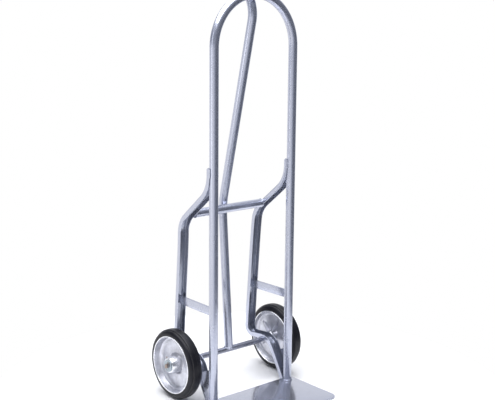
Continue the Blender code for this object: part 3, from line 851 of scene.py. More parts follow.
def rail_end_tool(side):
    """Everything above a rail's top end, which is square with its back corner rounded, in side view."""
    level = RAIL_TOP - RAIL_END_TRIM
    middle = Vector((RAIL_BACK - RAIL_END_ROUND, level - RAIL_END_ROUND))
    arc = [middle + RAIL_END_ROUND * Vector((math.cos(a), math.sin(a)))
           for a in (math.pi / 2 * (1.0 - k / 16) for k in range(17))]
    outline = [(-0.03, level)] + [tuple(point) for point in arc] + [
        (RAIL_BACK + 0.01, middle.y), (RAIL_BACK + 0.01, RAIL_TOP + 0.03), (-0.03, RAIL_TOP + 0.03)]
    mesh = plate_mesh("rail_end_tool", outline, 0.06)
    turn = Matrix.Rotation(math.pi / 2, 4, "Z") @ Matrix.Rotation(math.pi / 2, 4, "X")
    return show(put(mesh, Matrix.Translation((side * HALF_SPACING, 0.0, 0.0)) @ turn), RAIL_PAINT)


def foot_tool():
    """Everything below the toe plate's top."""
    outline = [(-0.3, -0.05), (0.3, -0.05), (0.3, 0.06), (-0.3, 0.06)]
    mesh = plate_mesh("rail_foot_tool", outline, 0.04)
    return show(put(mesh, Matrix.Translation((0.0, 0.0, PLATE_TOP + GAP - 0.02))), RAIL_PAINT)


for label, side in SIDES:
    rail = show(rail_mesh(label + "_rail_channel", side), RAIL_PAINT)
    tools = [rail_end_tool(side), foot_tool()]
    for tool in tools:
        cut = rail.modifiers.new("trim", "BOOLEAN")
        cut.operation = "DIFFERENCE"
        cut.solver = "EXACT"
        cut.object = tool
    rail = baked(rail, RAIL_PAINT)
    for tool in tools:
        bpy.data.objects.remove(tool, do_unlink=True)
    settle(rail, "frame", "silver_paint", label + "_side_rail")
    print(label, "rail", len(rail.data.polygons), "faces")

# %% [markdown]
# ## Toe plate, straps and gussets
# These are flat steel: the toe plate lies on the floor, a strap on edge ties each upright to its rail, and
# a gusset fills the corner at each foot. Their outlines are given a thickness, and a Bevel rounds the edges
# as grinding would.

# %% Make the toe plate
PLATE_CORNER = 0.035
plate_outline = rounded_loop((
    (plate_high.x, plate_high.y, 0.0015),
    (plate_low.x, plate_high.y, 0.0015),
    (plate_low.x, plate_low.y, PLATE_CORNER),
    (plate_high.x, plate_low.y, PLATE_CORNER),
), math.radians(5.0))
toe_mesh = plate_mesh("toe_plate_flat", plate_outline, plate_size.z)
put(toe_mesh, Matrix.Translation((0.0, 0.0, plate_size.z / 2)))
toe = soft_edges(show(toe_mesh, PLATE_PAINT), 0.0012)
toe = baked(toe, PLATE_PAINT)
settle(toe, "frame", "silver_paint", "toe_plate")
print("toe plate", [round(v * 1000) for v in plate_size], "mm")

# %% Make the straps and gussets
STRAP_THICK = 0.0048
EDGE_ROUND = 0.0008


def rail_back_y(height):
    """How far back a rail's long run is at a height."""
    share = (height - RAIL_HEEL[1]) / (RAIL_KNEE[1] - RAIL_HEEL[1])
    return RAIL_HEEL[0] + (RAIL_KNEE[0] - RAIL_HEEL[0]) * share


def make_strap(label, side):
    front = Vector((side * HALF_SPACING, TUBE_RADIUS + GAP))
    middle_z = (strap_low.z + strap_high.z) / 2
    back = Vector((side * rail_x(middle_z), rail_back_y(strap_high.z) - CHANNEL_WALL - 2 * GAP))
    lean = math.atan2(front.x - back.x, back.y - front.y)
    length = back.y - front.y
    half_thick = STRAP_THICK / 2
    outline = [(-half_thick, 0.0), (half_thick, 0.0), (half_thick, length), (-half_thick, length)]
    mesh = plate_mesh(label + "_strap_bar", outline, strap_size.z)
    place = Matrix.Translation((front.x, front.y, middle_z)) @ Matrix.Rotation(lean, 4, "Z")
    strap = baked(soft_edges(show(put(mesh, place), FRAME_PAINT), EDGE_ROUND), FRAME_PAINT)
    return settle(strap, "frame", "silver_paint", label + "_strap")


GUSSET_TOP = gusset_high.z
GUSSET_FALL = 0.45


def gusset_outline():
    """Side view (y, z): upright edge at y = 0, back edge along the channel's flange."""
    heel, toe_corner, foot = (Vector(point[:2]) for point in RAIL_CORNERS[3:])
    slope = (foot - toe_corner).normalized()
    line = toe_corner + Vector((slope.y, -slope.x)) * (CHANNEL_DEPTH + 2 * GAP)
    drift = slope.x / slope.y
    top = (GUSSET_TOP + GUSSET_FALL * (drift * line.y - line.x)) / (1.0 + GUSSET_FALL * drift)
    low = -line.x / drift + line.y + 0.004
    return [
        (0.0, GUSSET_TOP),
        (0.0, low),
        (line.x + drift * (low - line.y), low),
        (line.x + drift * (top - line.y), top),
    ]


def make_gusset(label, side):
    mesh = plate_mesh(label + "_gusset_plate", gusset_outline(), gusset_size.x)
    upright = Matrix.Rotation(math.pi / 2, 4, "Z") @ Matrix.Rotation(math.pi / 2, 4, "X")
    middle_x = side * (gusset_low.x + gusset_high.x) / 2
    put(mesh, Matrix.Translation((middle_x, 0.0, 0.0)) @ upright)
    gusset = baked(soft_edges(show(mesh, FRAME_PAINT), 0.0005), FRAME_PAINT)
    return settle(gusset, "frame", "silver_paint", label + "_gusset")


for label, side in SIDES:
    make_strap(label, side)
    make_gusset(label, side)
print("straps and gussets at", [round(strap_low.z, 3), round(GUSSET_TOP, 3)])

# %% [markdown]
# ## Welds
# The frame is held together by short arc welds, painted over with the rest. They are small, but without
# them the tubes would seem to float beside each other. Every weld is a path in space: a ring round a tube's
# end, or a short line in the corner between two pieces. One run of the weld tree makes each group.

# %% Lay the welds
WELD_RADIUS = 0.0024
WELD_PITCH = 0.0015
RAIL_WELD_LENGTH = 0.030
END_WELD_ROWS = 2
EAST = Vector((1.0, 0.0, 0.0))
NORTH = Vector((0.0, 1.0, 0.0))
UP = Vector((0.0, 0.0, 1.0))


def line(start, end):
    return spaced([Vector(start), Vector(end)], 0.01)


def foot_weld_paths(side):
    middle = Vector((side * HALF_SPACING, 0.0, PLATE_TOP + 0.0010))
    ring = circle_points(middle, EAST, -NORTH, TUBE_RADIUS + 0.0010, -0.1 * math.pi, 1.2 * math.pi)
    half = CHANNEL_WIDTH / 2
    back_y = plate_high.y - 0.0010
    heel = line((middle.x - half, back_y, middle.z), (middle.x + half, back_y, middle.z))
    return [ring, heel]


def rail_top_weld_paths(side):
    """Down both flange edges beside the upright, and over the gap behind it at the rail's end."""
    x = side * HALF_SPACING
    reach = CHANNEL_WIDTH / 2 - 0.0018
    top = RAIL_TOP - 0.0014
    paths = []
    for edge in (-1.0, 1.0):
        beside = x + edge * reach
        paths.append(line((beside, -0.0002, top - RAIL_WELD_LENGTH), (beside, -0.0002, top)))
    for row in range(END_WELD_ROWS):
        hug = TUBE_RADIUS + 0.0010 + row * 0.0026
        arc = [Vector((x + hug * math.cos(a), hug * math.sin(a), top - 0.0004 * row))
               for a in (math.pi * k / 24 for k in range(25))]
        paths.append([point for point in arc if abs(point.x - x) < reach and point.y < RAIL_BACK - 0.001])
    return [path for path in paths if len(path) > 1]


def crossbar_weld_paths(side):
    x = side * (bar_high.x - 0.0008)
    ring = circle_points(Vector((x, BAR_Y, BAR_Z)), NORTH, UP, TUBE_RADIUS)
    return [ring]


def centre_weld_paths():
    foot = circle_points(Vector((0.0, AXLE_Y - 0.003, AXLE_Z + 0.0092)), EAST, NORTH, TUBE_RADIUS + 0.0004)
    knee_z = BAR_Z - 0.004
    touch_y = BAR_Y + TUBE_RADIUS
    beside = [line((side * 0.0085, touch_y - 0.002, knee_z - 0.006),
                   (side * 0.0085, touch_y - 0.002, knee_z + 0.012))
              for side in (-1.0, 1.0)]
    top = [line((side * 0.0075, TUBE_RADIUS - 0.0004, LOOP_TOP - 0.006),
                (side * 0.0075, TUBE_RADIUS - 0.0004, LOOP_TOP + 0.004)) for side in (-1.0, 1.0)]
    return [foot] + beside + top


def strap_weld_paths(side):
    x = side * HALF_SPACING
    y = TUBE_RADIUS + 0.0006
    half = STRAP_THICK / 2 + 0.0008
    return [line((x + edge * half, y, strap_low.z + 0.002), (x + edge * half, y, strap_high.z - 0.002))
            for edge in (-1.0, 1.0)]


def gusset_weld_paths(side):
    outline = [Vector(point) for point in gusset_outline()]
    outer = side * (gusset_high.x - 0.0004)
    upright = line((side * (HALF_SPACING + TUBE_RADIUS), -0.0008, outline[1].y + 0.01),
                   (side * (HALF_SPACING + TUBE_RADIUS), -0.0008, outline[0].y - 0.004))
    low = outline[2].lerp(outline[3], 0.12)
    high = outline[2].lerp(outline[3], 0.94)
    return [upright, line((outer, low.x, low.y), (outer, high.x, high.y))]


def axle_weld_paths(side):
    half = CHANNEL_WIDTH / 2 - 0.002
    x = side * rail_x(AXLE_Z)
    return [line((x - half, AXLE_Y + edge * AXLE_RADIUS * 0.8, AXLE_Z + AXLE_RADIUS * 0.86),
                 (x + half, AXLE_Y + edge * AXLE_RADIUS * 0.8, AXLE_Z + AXLE_RADIUS * 0.86))
            for edge in (-1.0, 1.0)]


WELDS = (
    ("foot_welds", foot_weld_paths, 1.0),
    ("rail_top_welds", rail_top_weld_paths, 1.15),
    ("crossbar_welds", crossbar_weld_paths, 0.5),
    ("strap_welds", strap_weld_paths, 0.75),
    ("gusset_welds", gusset_weld_paths, 0.6),
    ("axle_welds", axle_weld_paths, 0.8),
)
for seed, (name, paths_of, share) in enumerate(WELDS):
    paths = paths_of(-1.0) + paths_of(1.0)
    bead = run_tree(
        name, paths, WELD_TREE, WELD_PAINT, Radius=WELD_RADIUS * share, Pitch=WELD_PITCH, Seed=seed
    )
    settle(bead, "frame", "silver_paint")
    print(name, len(bead.data.polygons), "faces")
bead = run_tree(
    "centre_tube_welds", centre_weld_paths(), WELD_TREE, WELD_PAINT,
    Radius=WELD_RADIUS, Pitch=WELD_PITCH, Seed=9
)
settle(bead, "frame", "silver_paint")

# %% [markdown]
# ## Wheels
# Each wheel is a cast centre with a solid tyre moulded on to it. From outside, a wide bright lip leads down
# a sloping wall to a ledge, then a flat disc with a tapered boss in its middle. The inner face has the same
# steps and five thin ribs from the boss to the rim. Everything round is one outline turned about the axle,
# and each outline corner is an arc, as a mould leaves it.

# %% Turn the cast centres
RIM_RADIUS = hub_size.z / 2
RIM_HALF_WIDTH = 0.0266
RIM_WALL = 0.0036
FLANGE_WIDTH = 0.0028
DISH_LEDGE = 0.0042
DISH_FACE = -0.0028
DISC_WALL = 0.0056
HUB_BORE = 0.0146
BOSS_TIP = (0.0265, 0.0337)
BOSS_BASE = (0.0360, 0.0010)
WHEEL_STEPS = 168


def hub_outline():
    """Closed (radius, outward offset, corner radius) outline of the cast centre."""
    lip = RIM_HALF_WIDTH
    seat = RIM_HALF_WIDTH - FLANGE_WIDTH
    well = RIM_RADIUS - RIM_WALL
    back = DISH_FACE - DISC_WALL
    end = HUB_HALF_LENGTH
    return [
        (RIM_RADIUS, lip, 0.0008),
        (RIM_RADIUS, seat, 0.0004),
        (well, seat - 0.0030, 0.0010),
        (well, 0.0030 - seat, 0.0010),
        (RIM_RADIUS, -seat, 0.0004),
        (RIM_RADIUS, -lip, 0.0008),
        (well + 0.0003, -lip, 0.0007),
        (well - 0.0008, 0.0025 - lip, 0.0),
        (well - 0.0014, 0.0040 - lip, 0.0),
        (0.0955, back - 0.0060, 0.0025),
        (0.0900, back - 0.0050, 0.0015),
        (0.0850, back - 0.0005, 0.0030),
        (0.0300, back, 0.0025),
        (0.0270, back - 0.0030, 0.0020),
        (0.0255, 0.0010 - end, 0.0010),
        (0.0245, -end, 0.0004),
        (HUB_BORE, -end, 0.0004),
        (HUB_BORE, end, 0.0004),
        (0.0250, end, 0.0004),
        (*BOSS_TIP, 0.0008),
        (*BOSS_BASE, 0.0030),
        (0.0400, DISH_FACE + 0.0002, 0.0020),
        (0.0840, DISH_FACE, 0.0030),
        (0.0900, DISH_LEDGE - 0.0010, 0.0012),
        (0.0945, DISH_LEDGE, 0.0025),
        (well - 0.0007, lip - 0.0040, 0.0),
        (well - 0.0003, lip - 0.0025, 0.0),
        (well + 0.0003, lip, 0.0007),
    ]


def wheel_place(side, turn=0.0):
    """Turns +Z outwards along the axle, and moves a wheel piece into place."""
    move = Matrix.Translation((side * WHEEL_X, AXLE_Y, AXLE_Z))
    return move @ Matrix.Rotation(side * math.pi / 2, 4, "Y") @ Matrix.Rotation(turn, 4, "Z")


def mark(mesh, name, rule):
    """Store a value from 0 to 1 on every point, by a rule of its radius and offset from the wheel."""
    values = mesh.attributes.new(name, "FLOAT", "POINT")
    for point, entry in zip(mesh.vertices, values.data):
        entry.value = rule(math.hypot(point.co.x, point.co.y), point.co.z)
    return mesh


def near(value, target, spread):
    return max(0.0, 1.0 - abs(value - target) / spread)


def hub_turned(radius, offset):
    """1 on the rim's lips and on the boss's ends."""
    lip = min(1.0, max(0.0, (abs(offset) - RIM_HALF_WIDTH + 0.0035) / 0.0015))
    end = 1.0 if abs(offset) > HUB_HALF_LENGTH - 0.0003 else 0.0
    return max(lip, end)


def hub_corner(radius, offset):
    """1 where the colour is made darker: at the foot of the wall, of the boss and of the ledge."""
    foot = near(radius, 0.0850, 0.0060)
    ledge = near(radius, 0.0955, 0.0022)
    boss = near(radius, 0.0375, 0.0050) if abs(offset) < 0.012 else 0.0
    return 0.8 * max(foot * 0.7, ledge * 0.6, boss)


def steel_marks(mesh, everywhere=1.0):
    values = mesh.attributes.new("browned", "FLOAT", "POINT")
    for entry in values.data:
        entry.value = everywhere
    return mesh


for label, side in SIDES:
    mesh = turned(label + "_cast_wheel", rounded_loop(hub_outline()), WHEEL_STEPS)
    mark(mesh, "from_axle", lambda radius, offset: radius)
    mark(mesh, "turned", hub_turned)
    mark(mesh, "in_corner", hub_corner)
    wheel = show(put(mesh, wheel_place(side)), CAST)
    settle(wheel, label + "_wheel", "cast_aluminium", label + "_hub")
    print(label, "cast wheel", len(mesh.polygons), "faces")

# %% [markdown]
# ### Ribs
# The ribs repeat round the axle, so a node tree makes them: it takes one rib, puts it on a chosen number of
# points and turns each one a step further. The rib itself is a thin tapered web, with rounded edges.

# %% Repeat the ribs with a node tree
RIB_COUNT = 5
RIB_THICK = 0.0055
RIB_END = 0.0800
RIB_FOOT = 0.0262
RIB_FOOT_OFFSET = -0.0299
RIB_START = math.radians(54.0)


def rib_tree():
    inputs = (
        ("Count", "NodeSocketInt"),
        ("First angle", "NodeSocketFloat"),
        ("Finish", "NodeSocketMaterial"),
    )
    tree, nodes, links, start, end = new_tree("ribs round a hub", inputs)
    marks = nodes.new("GeometryNodePoints")
    which = nodes.new("GeometryNodeInputIndex")
    share = nodes.new("ShaderNodeMath")
    share.operation = "DIVIDE"
    angle = nodes.new("ShaderNodeMath")
    angle.operation = "MULTIPLY_ADD"
    angle.inputs[1].default_value = 2 * math.pi
    turn = nodes.new("ShaderNodeCombineXYZ")
    copies = nodes.new("GeometryNodeInstanceOnPoints")
    links.new(start.outputs["Count"], marks.inputs["Count"])
    links.new(which.outputs["Index"], share.inputs[0])
    links.new(start.outputs["Count"], share.inputs[1])
    links.new(share.outputs[0], angle.inputs[0])
    links.new(start.outputs["First angle"], angle.inputs[2])
    links.new(angle.outputs[0], turn.inputs[2])
    links.new(marks.outputs[0], copies.inputs["Points"])
    links.new(start.outputs["Geometry"], copies.inputs["Instance"])
    links.new(turn.outputs[0], copies.inputs["Rotation"])
    end_tree(nodes, links, start, end, copies.outputs["Instances"])
    return tree


def rib_mesh(name):
    """One rib standing along +X, thicker at its root on the disc than at its free edge."""
    root = DISH_FACE - DISC_WALL + 0.0008
    outline = [(RIB_FOOT, root, 0.0), (RIB_END, root, 0.0), (RIB_END, root - 0.0012, 0.001)]
    outline.append((RIB_FOOT, RIB_FOOT_OFFSET, 0.0))
    mesh = plate_mesh(name, rounded_loop(outline, math.radians(10.0)), RIB_THICK)
    for point in mesh.vertices:
        depth = (root - point.co.y) / 0.02
        point.co.z *= 1.25 - 0.45 * min(1.0, max(0.0, depth))
    return put(mesh, Matrix.Rotation(math.pi / 2, 4, "X"))


RIB_TREE = rib_tree()
for label, side in SIDES:
    rib = soft_edges(show(rib_mesh(label + "_wheel_ribs"), CAST), 0.0010)
    rib = baked(rib, CAST)
    step = rib.modifiers.new("repeat", "NODES")
    step.node_group = RIB_TREE
    chosen = {"Count": RIB_COUNT, "First angle": RIB_START, "Finish": CAST}
    for item in RIB_TREE.interface.items_tree:
        if item.in_out == "INPUT" and item.name in chosen:
            step[item.identifier] = chosen[item.name]
    rib = baked(rib, CAST)
    mark(rib.data, "from_axle", lambda radius, offset: radius)
    # the rib's root is coloured darker, like the corners
    mark(rib.data, "in_corner", lambda radius, offset: 0.5 * near(offset, DISH_FACE - DISC_WALL, 0.004))
    mark(rib.data, "turned", lambda radius, offset: 0.0)
    put(rib.data, wheel_place(side))
    settle(rib, label + "_wheel", "cast_aluminium")
    print(label, "ribs", len(rib.data.polygons), "faces")

# %% [markdown]
# ### Tyres
# The tyre's section has a rounded sidewall, a shallow groove behind each shoulder and a raised band where
# it rolls, with the fine ridge that the two halves of the mould leave in the middle.

# %% Turn the tyres
MOULD_RIDGE = 0.0005


def tyre_outline():
    seat = RIM_HALF_WIDTH - FLANGE_WIDTH
    base = RIM_RADIUS + 0.0004
    low = base - RIM_WALL
    outer = [
        (base, seat + 0.0018, 0.0006),
        (0.1080, seat + 0.0025, 0.0020),
        (0.1150, seat + 0.0012, 0.0080),
        (0.1203, seat - 0.0022, 0.0030),
        (0.1224, 0.0182, 0.0010),
        (0.1217, 0.0156, 0.0008),
        (0.1252, 0.0138, 0.0010),
        (0.1265, 0.0100, 0.0060),
        (WHEEL_RADIUS - MOULD_RIDGE, 0.0010, 0.0),
        (WHEEL_RADIUS, 0.0003, 0.0),
    ]
    mirrored = [(radius, -offset, corner) for radius, offset, corner in reversed(outer)]
    inside = [
        (base, 0.0003 - seat, 0.0003),
        (low, 0.0033 - seat, 0.0005),
        (low, seat - 0.0033, 0.0005),
        (base, seat - 0.0003, 0.0003),
    ]
    return rounded_loop(outer + mirrored + inside, math.radians(12.0))


def tyre_corner(radius, offset):
    """1 in the groove beside the tread band and where the rubber meets the rim."""
    groove = near(abs(offset), 0.0156, 0.0022) if radius > 0.118 else 0.0
    return max(groove, 0.8 * near(radius, RIM_RADIUS, 0.0020))


for label, side in SIDES:
    mesh = turned(label + "_rubber_tyre", tyre_outline(), WHEEL_STEPS)
    mark(mesh, "from_axle", lambda radius, offset: radius)
    mark(mesh, "in_corner", tyre_corner)
    tyre = show(put(mesh, wheel_place(side)), TYRE_RUBBER)
    settle(tyre, label + "_wheel", "black_rubber", label + "_tyre")
print("tyres", len(mesh.polygons), "faces each")

# %% [markdown]
# ## Axle and its hardware
# The axle is a length of drawn rod with chamfered ends and a cross hole at each end. A washer sits on each
# side of the boss, a split pin keeps the outer one on, and a grease fitting stands on the boss.

# %% Turn the axle and cut its pin holes
COTTER_X = WHEEL_X + HUB_HALF_LENGTH + 0.0068
COTTER_TURN = math.radians(20.0)
COTTER_WIRE = 0.0009
COTTER_HOLE = 0.0022
AXLE_CHAMFER = 0.0012


def axle_outline():
    end = AXLE_HALF_LENGTH
    return [(0.0, -end), (AXLE_RADIUS - AXLE_CHAMFER, -end), (AXLE_RADIUS, AXLE_CHAMFER - end),
            (AXLE_RADIUS, end - AXLE_CHAMFER), (AXLE_RADIUS - AXLE_CHAMFER, end), (0.0, end)]


def pin_hole_tool(side):
    mesh = turned("pin_hole_tool", [(0.0, -0.02), (COTTER_HOLE, -0.02), (COTTER_HOLE, 0.02), (0.0, 0.02)], 32)
    turn = Matrix.Rotation(COTTER_TURN, 4, "X")
    return show(put(mesh, Matrix.Translation((side * COTTER_X, AXLE_Y, AXLE_Z)) @ turn), AXLE_PAINT)


straight = 2 * (AXLE_HALF_LENGTH - AXLE_CHAMFER)
lengths = [-AXLE_HALF_LENGTH + AXLE_CHAMFER + k * straight / 40 for k in range(41)]
outline = axle_outline()[:2] + [(AXLE_RADIUS, z) for z in lengths] + axle_outline()[4:]
axle_mesh = turned("axle_rod", outline, 72)
put(axle_mesh, Matrix.Translation((0.0, AXLE_Y, AXLE_Z)) @ Matrix.Rotation(math.pi / 2, 4, "Y"))
axle = show(axle_mesh, AXLE_PAINT)
tools = [pin_hole_tool(side) for _, side in SIDES]
for tool in tools:
    cut = axle.modifiers.new("pin hole", "BOOLEAN")
    cut.operation = "DIFFERENCE"
    cut.solver = "EXACT"
    cut.object = tool
axle = baked(axle, AXLE_PAINT)
for tool in tools:
    bpy.data.objects.remove(tool, do_unlink=True)
values = axle.data.attributes.new("browned", "FLOAT", "POINT")
for point, entry in zip(axle.data.vertices, values.data):
    entry.value = ease((abs(point.co.x) - HUB_HALF_LENGTH - WHEEL_X + 0.004) / 0.004)
settle(axle, "frame", "painted_axle", "axle")
print("axle", round(axle_size.x * 1000), "mm long")

# %% [markdown]
# ## Spacer tube
# A plain tube fills the run of axle between the rails, and the centre tube's foot is coped to it. Its paint
# is darkened with painted shade. Points along its wall keep the shading even on so long a piece.

# %% Turn the spacer tube
SPACER_CHAMFER = AXLE_CHAMFER / 2
half = spacer_size.x / 2
wall = [(SPACER_RADIUS, half - SPACER_CHAMFER - k * (spacer_size.x - AXLE_CHAMFER) / 24) for k in range(25)]
outline = [(AXLE_RADIUS + GAP, -half), (AXLE_RADIUS + GAP, half), (SPACER_RADIUS - SPACER_CHAMFER, half)]
outline += wall + [(SPACER_RADIUS - SPACER_CHAMFER, -half)]
spacer_mesh = turned("axle_spacer", outline, 96)
put(spacer_mesh, Matrix.Translation((0.0, AXLE_Y, AXLE_Z)) @ Matrix.Rotation(math.pi / 2, 4, "Y"))
settle(show(spacer_mesh, SPACER_PAINT), "frame", "silver_paint", "axle_tube")
print("spacer", round(spacer_size.x * 1000), "mm long,", round(spacer_size.z * 1000, 1), "mm thick")

# %% Make washers, split pins and grease fittings
WASHER_RADIUS = washer_size.z / 2
WASHER_THICK = washer_size.x
WASHER_EDGE = 0.0005
NIPPLE_ANGLE = math.radians(60.0)


def make_washer(name, side, offset, solid):
    half = WASHER_THICK / 2
    outline = rounded_loop((
        (WASHER_RADIUS, half, WASHER_EDGE),
        (WASHER_RADIUS, -half, WASHER_EDGE * 0.4),
        (AXLE_RADIUS + GAP, -half, WASHER_EDGE * 0.4),
        (AXLE_RADIUS + GAP, half, WASHER_EDGE),
    ))
    mesh = steel_marks(turned(name, outline, 96), 0.7)
    place = wheel_place(side) @ Matrix.Translation((0.0, 0.0, offset))
    return settle(show(put(mesh, place), ZINC), "frame", "zinc_plate", solid)


def make_split_pin(label, side):
    """An eye above the axle, two legs through the hole and their ends bent apart."""
    leg = COTTER_WIRE + GAP / 2
    eye = 0.0034
    eye_height = AXLE_RADIUS + eye + 0.0014
    tip = -AXLE_RADIUS - 0.0015
    half = [(0.0, -0.0085, tip - 0.0050), (0.0, -0.0042, tip - 0.0025), (0.0, -leg, tip + 0.0008)]
    half += [(0.0, -leg, 0.0), (0.0, -leg, AXLE_RADIUS)]
    points = [Vector(point) for point in half]
    for k in range(25):
        angle = math.radians(-115.0 - 310.0 * k / 24)
        points.append(Vector((0.0, eye * math.cos(angle), eye_height + eye * math.sin(angle))))
    points += [Vector((0.0, -y, z)) for _, y, z in reversed(half)]
    place = Matrix.Translation((side * COTTER_X, AXLE_Y, AXLE_Z)) @ Matrix.Rotation(COTTER_TURN, 4, "X")
    path = [place @ point for point in points]
    pin = run_tree(label + "_split_pin", [path], TUBE_TREE, PLAIN_STEEL, Radius=COTTER_WIRE, Sides=14)
    steel_marks(pin.data)
    return settle(pin, "frame", "hardware_steel", label + "_cotter_pin")


def make_grease_fitting(label, side):
    """A small nipple with a flat collar and a ball end, square to the boss's slope."""
    outline = rounded_loop((
        (0.0, 0.0090, 0.0),
        (0.0016, 0.0090, 0.0006),
        (0.0024, 0.0078, 0.0005),
        (0.0024, 0.0064, 0.0005),
        (0.0015, 0.0054, 0.0003),
        (0.0016, 0.0040, 0.0002),
        (0.0036, 0.0040, 0.0004),
        (0.0036, 0.0, 0.0),
        (0.0, 0.0, 0.0),
    ))
    mesh = steel_marks(turned(label + "_lube_nipple", outline, 40))
    slope = math.atan2(BOSS_BASE[0] - BOSS_TIP[0], BOSS_TIP[1] - BOSS_BASE[1])
    middle = Vector(((BOSS_BASE[0] + BOSS_TIP[0]) / 2, 0.0, (BOSS_BASE[1] + BOSS_TIP[1]) / 2))
    seat = middle + Vector((math.cos(slope), 0.0, math.sin(slope))) * 2 * GAP
    stand = Matrix.Translation(seat) @ Matrix.Rotation(math.pi / 2 - slope, 4, "Y")
    put(mesh, wheel_place(side, NIPPLE_ANGLE) @ stand)
    return settle(show(mesh, PLAIN_STEEL), label + "_wheel", "hardware_steel", label + "_grease_fitting")


for label, side in SIDES:
    reach = HUB_HALF_LENGTH + GAP + WASHER_THICK / 2
    make_washer(label + "_washer_outside", side, reach, label + "_outer_washer")
    make_washer(label + "_washer_inside", side, -reach, label + "_inner_washer")
    make_split_pin(label, side)
    make_grease_fitting(label, side)
    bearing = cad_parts[label + "_roller_bearing"]
    bearing.data.materials.clear()
    bearing.data.materials.append(BEARING_STEEL)
print("hardware at", round(COTTER_X, 4), "m from the middle")

# %% [markdown]
# ## Handle grip
# The grip is a vinyl sleeve pushed over the end of the centre tube, closed at the end, with a thicker rim at
# its mouth and shallow finger rings. It is turned about the handle's straight like the other round pieces.

# %% Turn the grip
GRIP_WALL = 0.0026
GRIP_LENGTH = 0.112
RING_COUNT = 9
RING_DEPTH = 0.0005


def grip_outline():
    """Closed (radius, distance from the mouth) outline."""
    inner = TUBE_RADIUS + GAP
    outer = inner + GRIP_WALL
    end = GRIP_LENGTH - GRIP_WALL
    corners = [(inner, 0.0, 0.0004), (inner, end, 0.0004), (0.0, end, 0.0), (0.0, GRIP_LENGTH, 0.0),
               (outer, GRIP_LENGTH, 0.0060)]
    pitch = 0.0075
    for k in range(RING_COUNT, 0, -1):
        middle = 0.020 + pitch * k
        corners += [(outer, middle + 0.0018, 0.0008), (outer - RING_DEPTH, middle + 0.0008, 0.0006),
                    (outer - RING_DEPTH, middle - 0.0008, 0.0006), (outer, middle - 0.0018, 0.0008)]
    corners += [(outer - 0.0004, 0.0140, 0.002), (outer - 0.0004, 0.0080, 0.002), (outer, 0.0050, 0.001),
                (outer, 0.0, 0.0012)]
    return rounded_loop(corners, math.radians(20.0))


grip_mesh = turned("grip_sleeve", grip_outline(), 72)
grip_base = centre_path[-1] + handle_direction * (GAP - GRIP_LENGTH + GRIP_WALL)
put(grip_mesh, Matrix.Translation(grip_base) @ Matrix.Rotation(-HANDLE_END_ANGLE, 4, "X"))
settle(show(grip_mesh, GRIP_VINYL), "frame", "black_vinyl", "handle_grip")
print("grip", len(grip_mesh.polygons), "faces")

# %% [markdown]
# ## Floor and light
# A pale, slightly satin floor and a white surround keep the attention on the metal. Silver paint only looks
# like metal when it has something uneven to reflect, so the surround that lights the truck is brighter on
# the left and overhead than on the right, as in a room with one big window, while it is plain white to look
# at. One broad lamp overhead lights the floor, and a tall one on the left gives the tubes their highlight.

# %% Lay the floor
FLOOR_RADIUS = 0.95
FLOOR_DARK = (0.88, 0.88, 0.89)
FLOOR_LIGHT = (0.90, 0.90, 0.91)
turns = [2 * math.pi * k / 96 for k in range(96)]
rim = [(FLOOR_RADIUS * math.cos(turn), FLOOR_RADIUS * math.sin(turn)) for turn in turns]
floor_mesh = put(plate_mesh("floor", rim, 0.02), Matrix.Translation((0.0, 0.0, -0.0105)))
floor_finish, nodes, links, shader = new_finish("pale_floor")
pale = place_pattern(nodes, links)
tone = between(nodes, links, noise(nodes, links, pale, 1.2, 3.0), 0.3, 0.7)
links.new(mix_colours(nodes, links, tone, FLOOR_DARK, FLOOR_LIGHT), shader.inputs["Base Color"])
shader.inputs["Roughness"].default_value = 0.55
shader.inputs["Specular IOR Level"].default_value = 0.20
floor = show(floor_mesh, floor_finish)
print("floor", FLOOR_RADIUS, "m in radius")

# %% Build the surround
ROOM_DIM = 0.14
ROOM_SHADE = (0.74, 0.81, 1.0)
ROOM_GLOW = (1.0, 0.99, 0.98)
# Each bright part of the room: its direction, where it starts and is full, its strength, and its
# share overhead.
ROOM_LOBES = (
    ((-0.9020, 0.4350, 0.0), -0.50, 0.45, 1.00, 0.12),
    ((0.6570, 0.7530, 0.0), 0.55, 0.97, 0.72, 1.00),
    ((0.0, 0.0, 1.0), 0.30, 0.95, 0.50, 1.00),
)


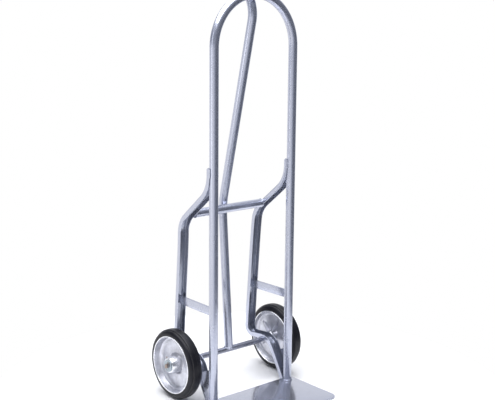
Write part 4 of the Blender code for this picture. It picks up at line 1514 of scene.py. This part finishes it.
def white_room():
    """Plain white to look at, and a soft uneven light for everything else."""
    world = bpy.data.worlds.new("white room")
    world.use_nodes = True
    nodes, links = world.node_tree.nodes, world.node_tree.links
    lighting = nodes["Background"]
    backdrop = nodes.new("ShaderNodeBackground")
    backdrop.inputs["Color"].default_value = (1.0, 1.0, 1.0, 1.0)
    where = nodes.new("ShaderNodeTexCoord")
    split = nodes.new("ShaderNodeSeparateXYZ")
    links.new(where.outputs["Generated"], split.inputs[0])
    total = None
    for direction, low, high, strength, above in ROOM_LOBES:
        facing = nodes.new("ShaderNodeVectorMath")
        facing.operation = "DOT_PRODUCT"
        facing.inputs[1].default_value = direction
        links.new(where.outputs["Generated"], facing.inputs[0])
        lobe = between(nodes, links, facing.outputs["Value"], low, high, 0.0, strength)
        overhead = between(nodes, links, split.outputs["Z"], -0.10, 0.12, 1.0, above)
        lobe = multiply(nodes, links, lobe, overhead)
        total = add(nodes, links, total, lobe) if total else lobe
    links.new(mix_colours(nodes, links, total, ROOM_SHADE, ROOM_GLOW), lighting.inputs["Color"])
    links.new(between(nodes, links, total, 0.0, 1.0, ROOM_DIM, ROOM_DIM + 1.0), lighting.inputs["Strength"])
    seen = nodes.new("ShaderNodeLightPath")
    choose = nodes.new("ShaderNodeMixShader")
    links.new(seen.outputs["Is Camera Ray"], choose.inputs[0])
    links.new(lighting.outputs[0], choose.inputs[1])
    links.new(backdrop.outputs[0], choose.inputs[2])
    links.new(choose.outputs[0], nodes["World Output"].inputs["Surface"])
    return world


bpy.context.scene.world = white_room()
print("surround with", len(ROOM_LOBES), "bright directions")

# %% Hang the lamps
def hang_lamp(name, place, towards, width, height, power, colour=(1.0, 1.0, 1.0)):
    data = bpy.data.lights.new(name, "AREA")
    data.shape = "RECTANGLE"
    data.size = width
    data.size_y = height
    data.energy = power
    data.color = colour
    lamp = bpy.data.objects.new(name, data)
    bpy.context.scene.collection.objects.link(lamp)
    lamp.location = place
    lamp.rotation_euler = (Vector(towards) - Vector(place)).to_track_quat("-Z", "Y").to_euler()
    return lamp


hang_lamp("overhead", (-0.3, 0.1, 3.4), (0.0, 0.1, 0.0), 4.0, 4.0, 195.0)
hang_lamp("left", (-3.0, 0.2, 1.3), (0.0, 0.1, 0.7), 0.7, 2.4, 8.0, (0.96, 0.98, 1.0))
bpy.context.scene.view_settings.view_transform = "Standard"
print("floor and lamps ready")
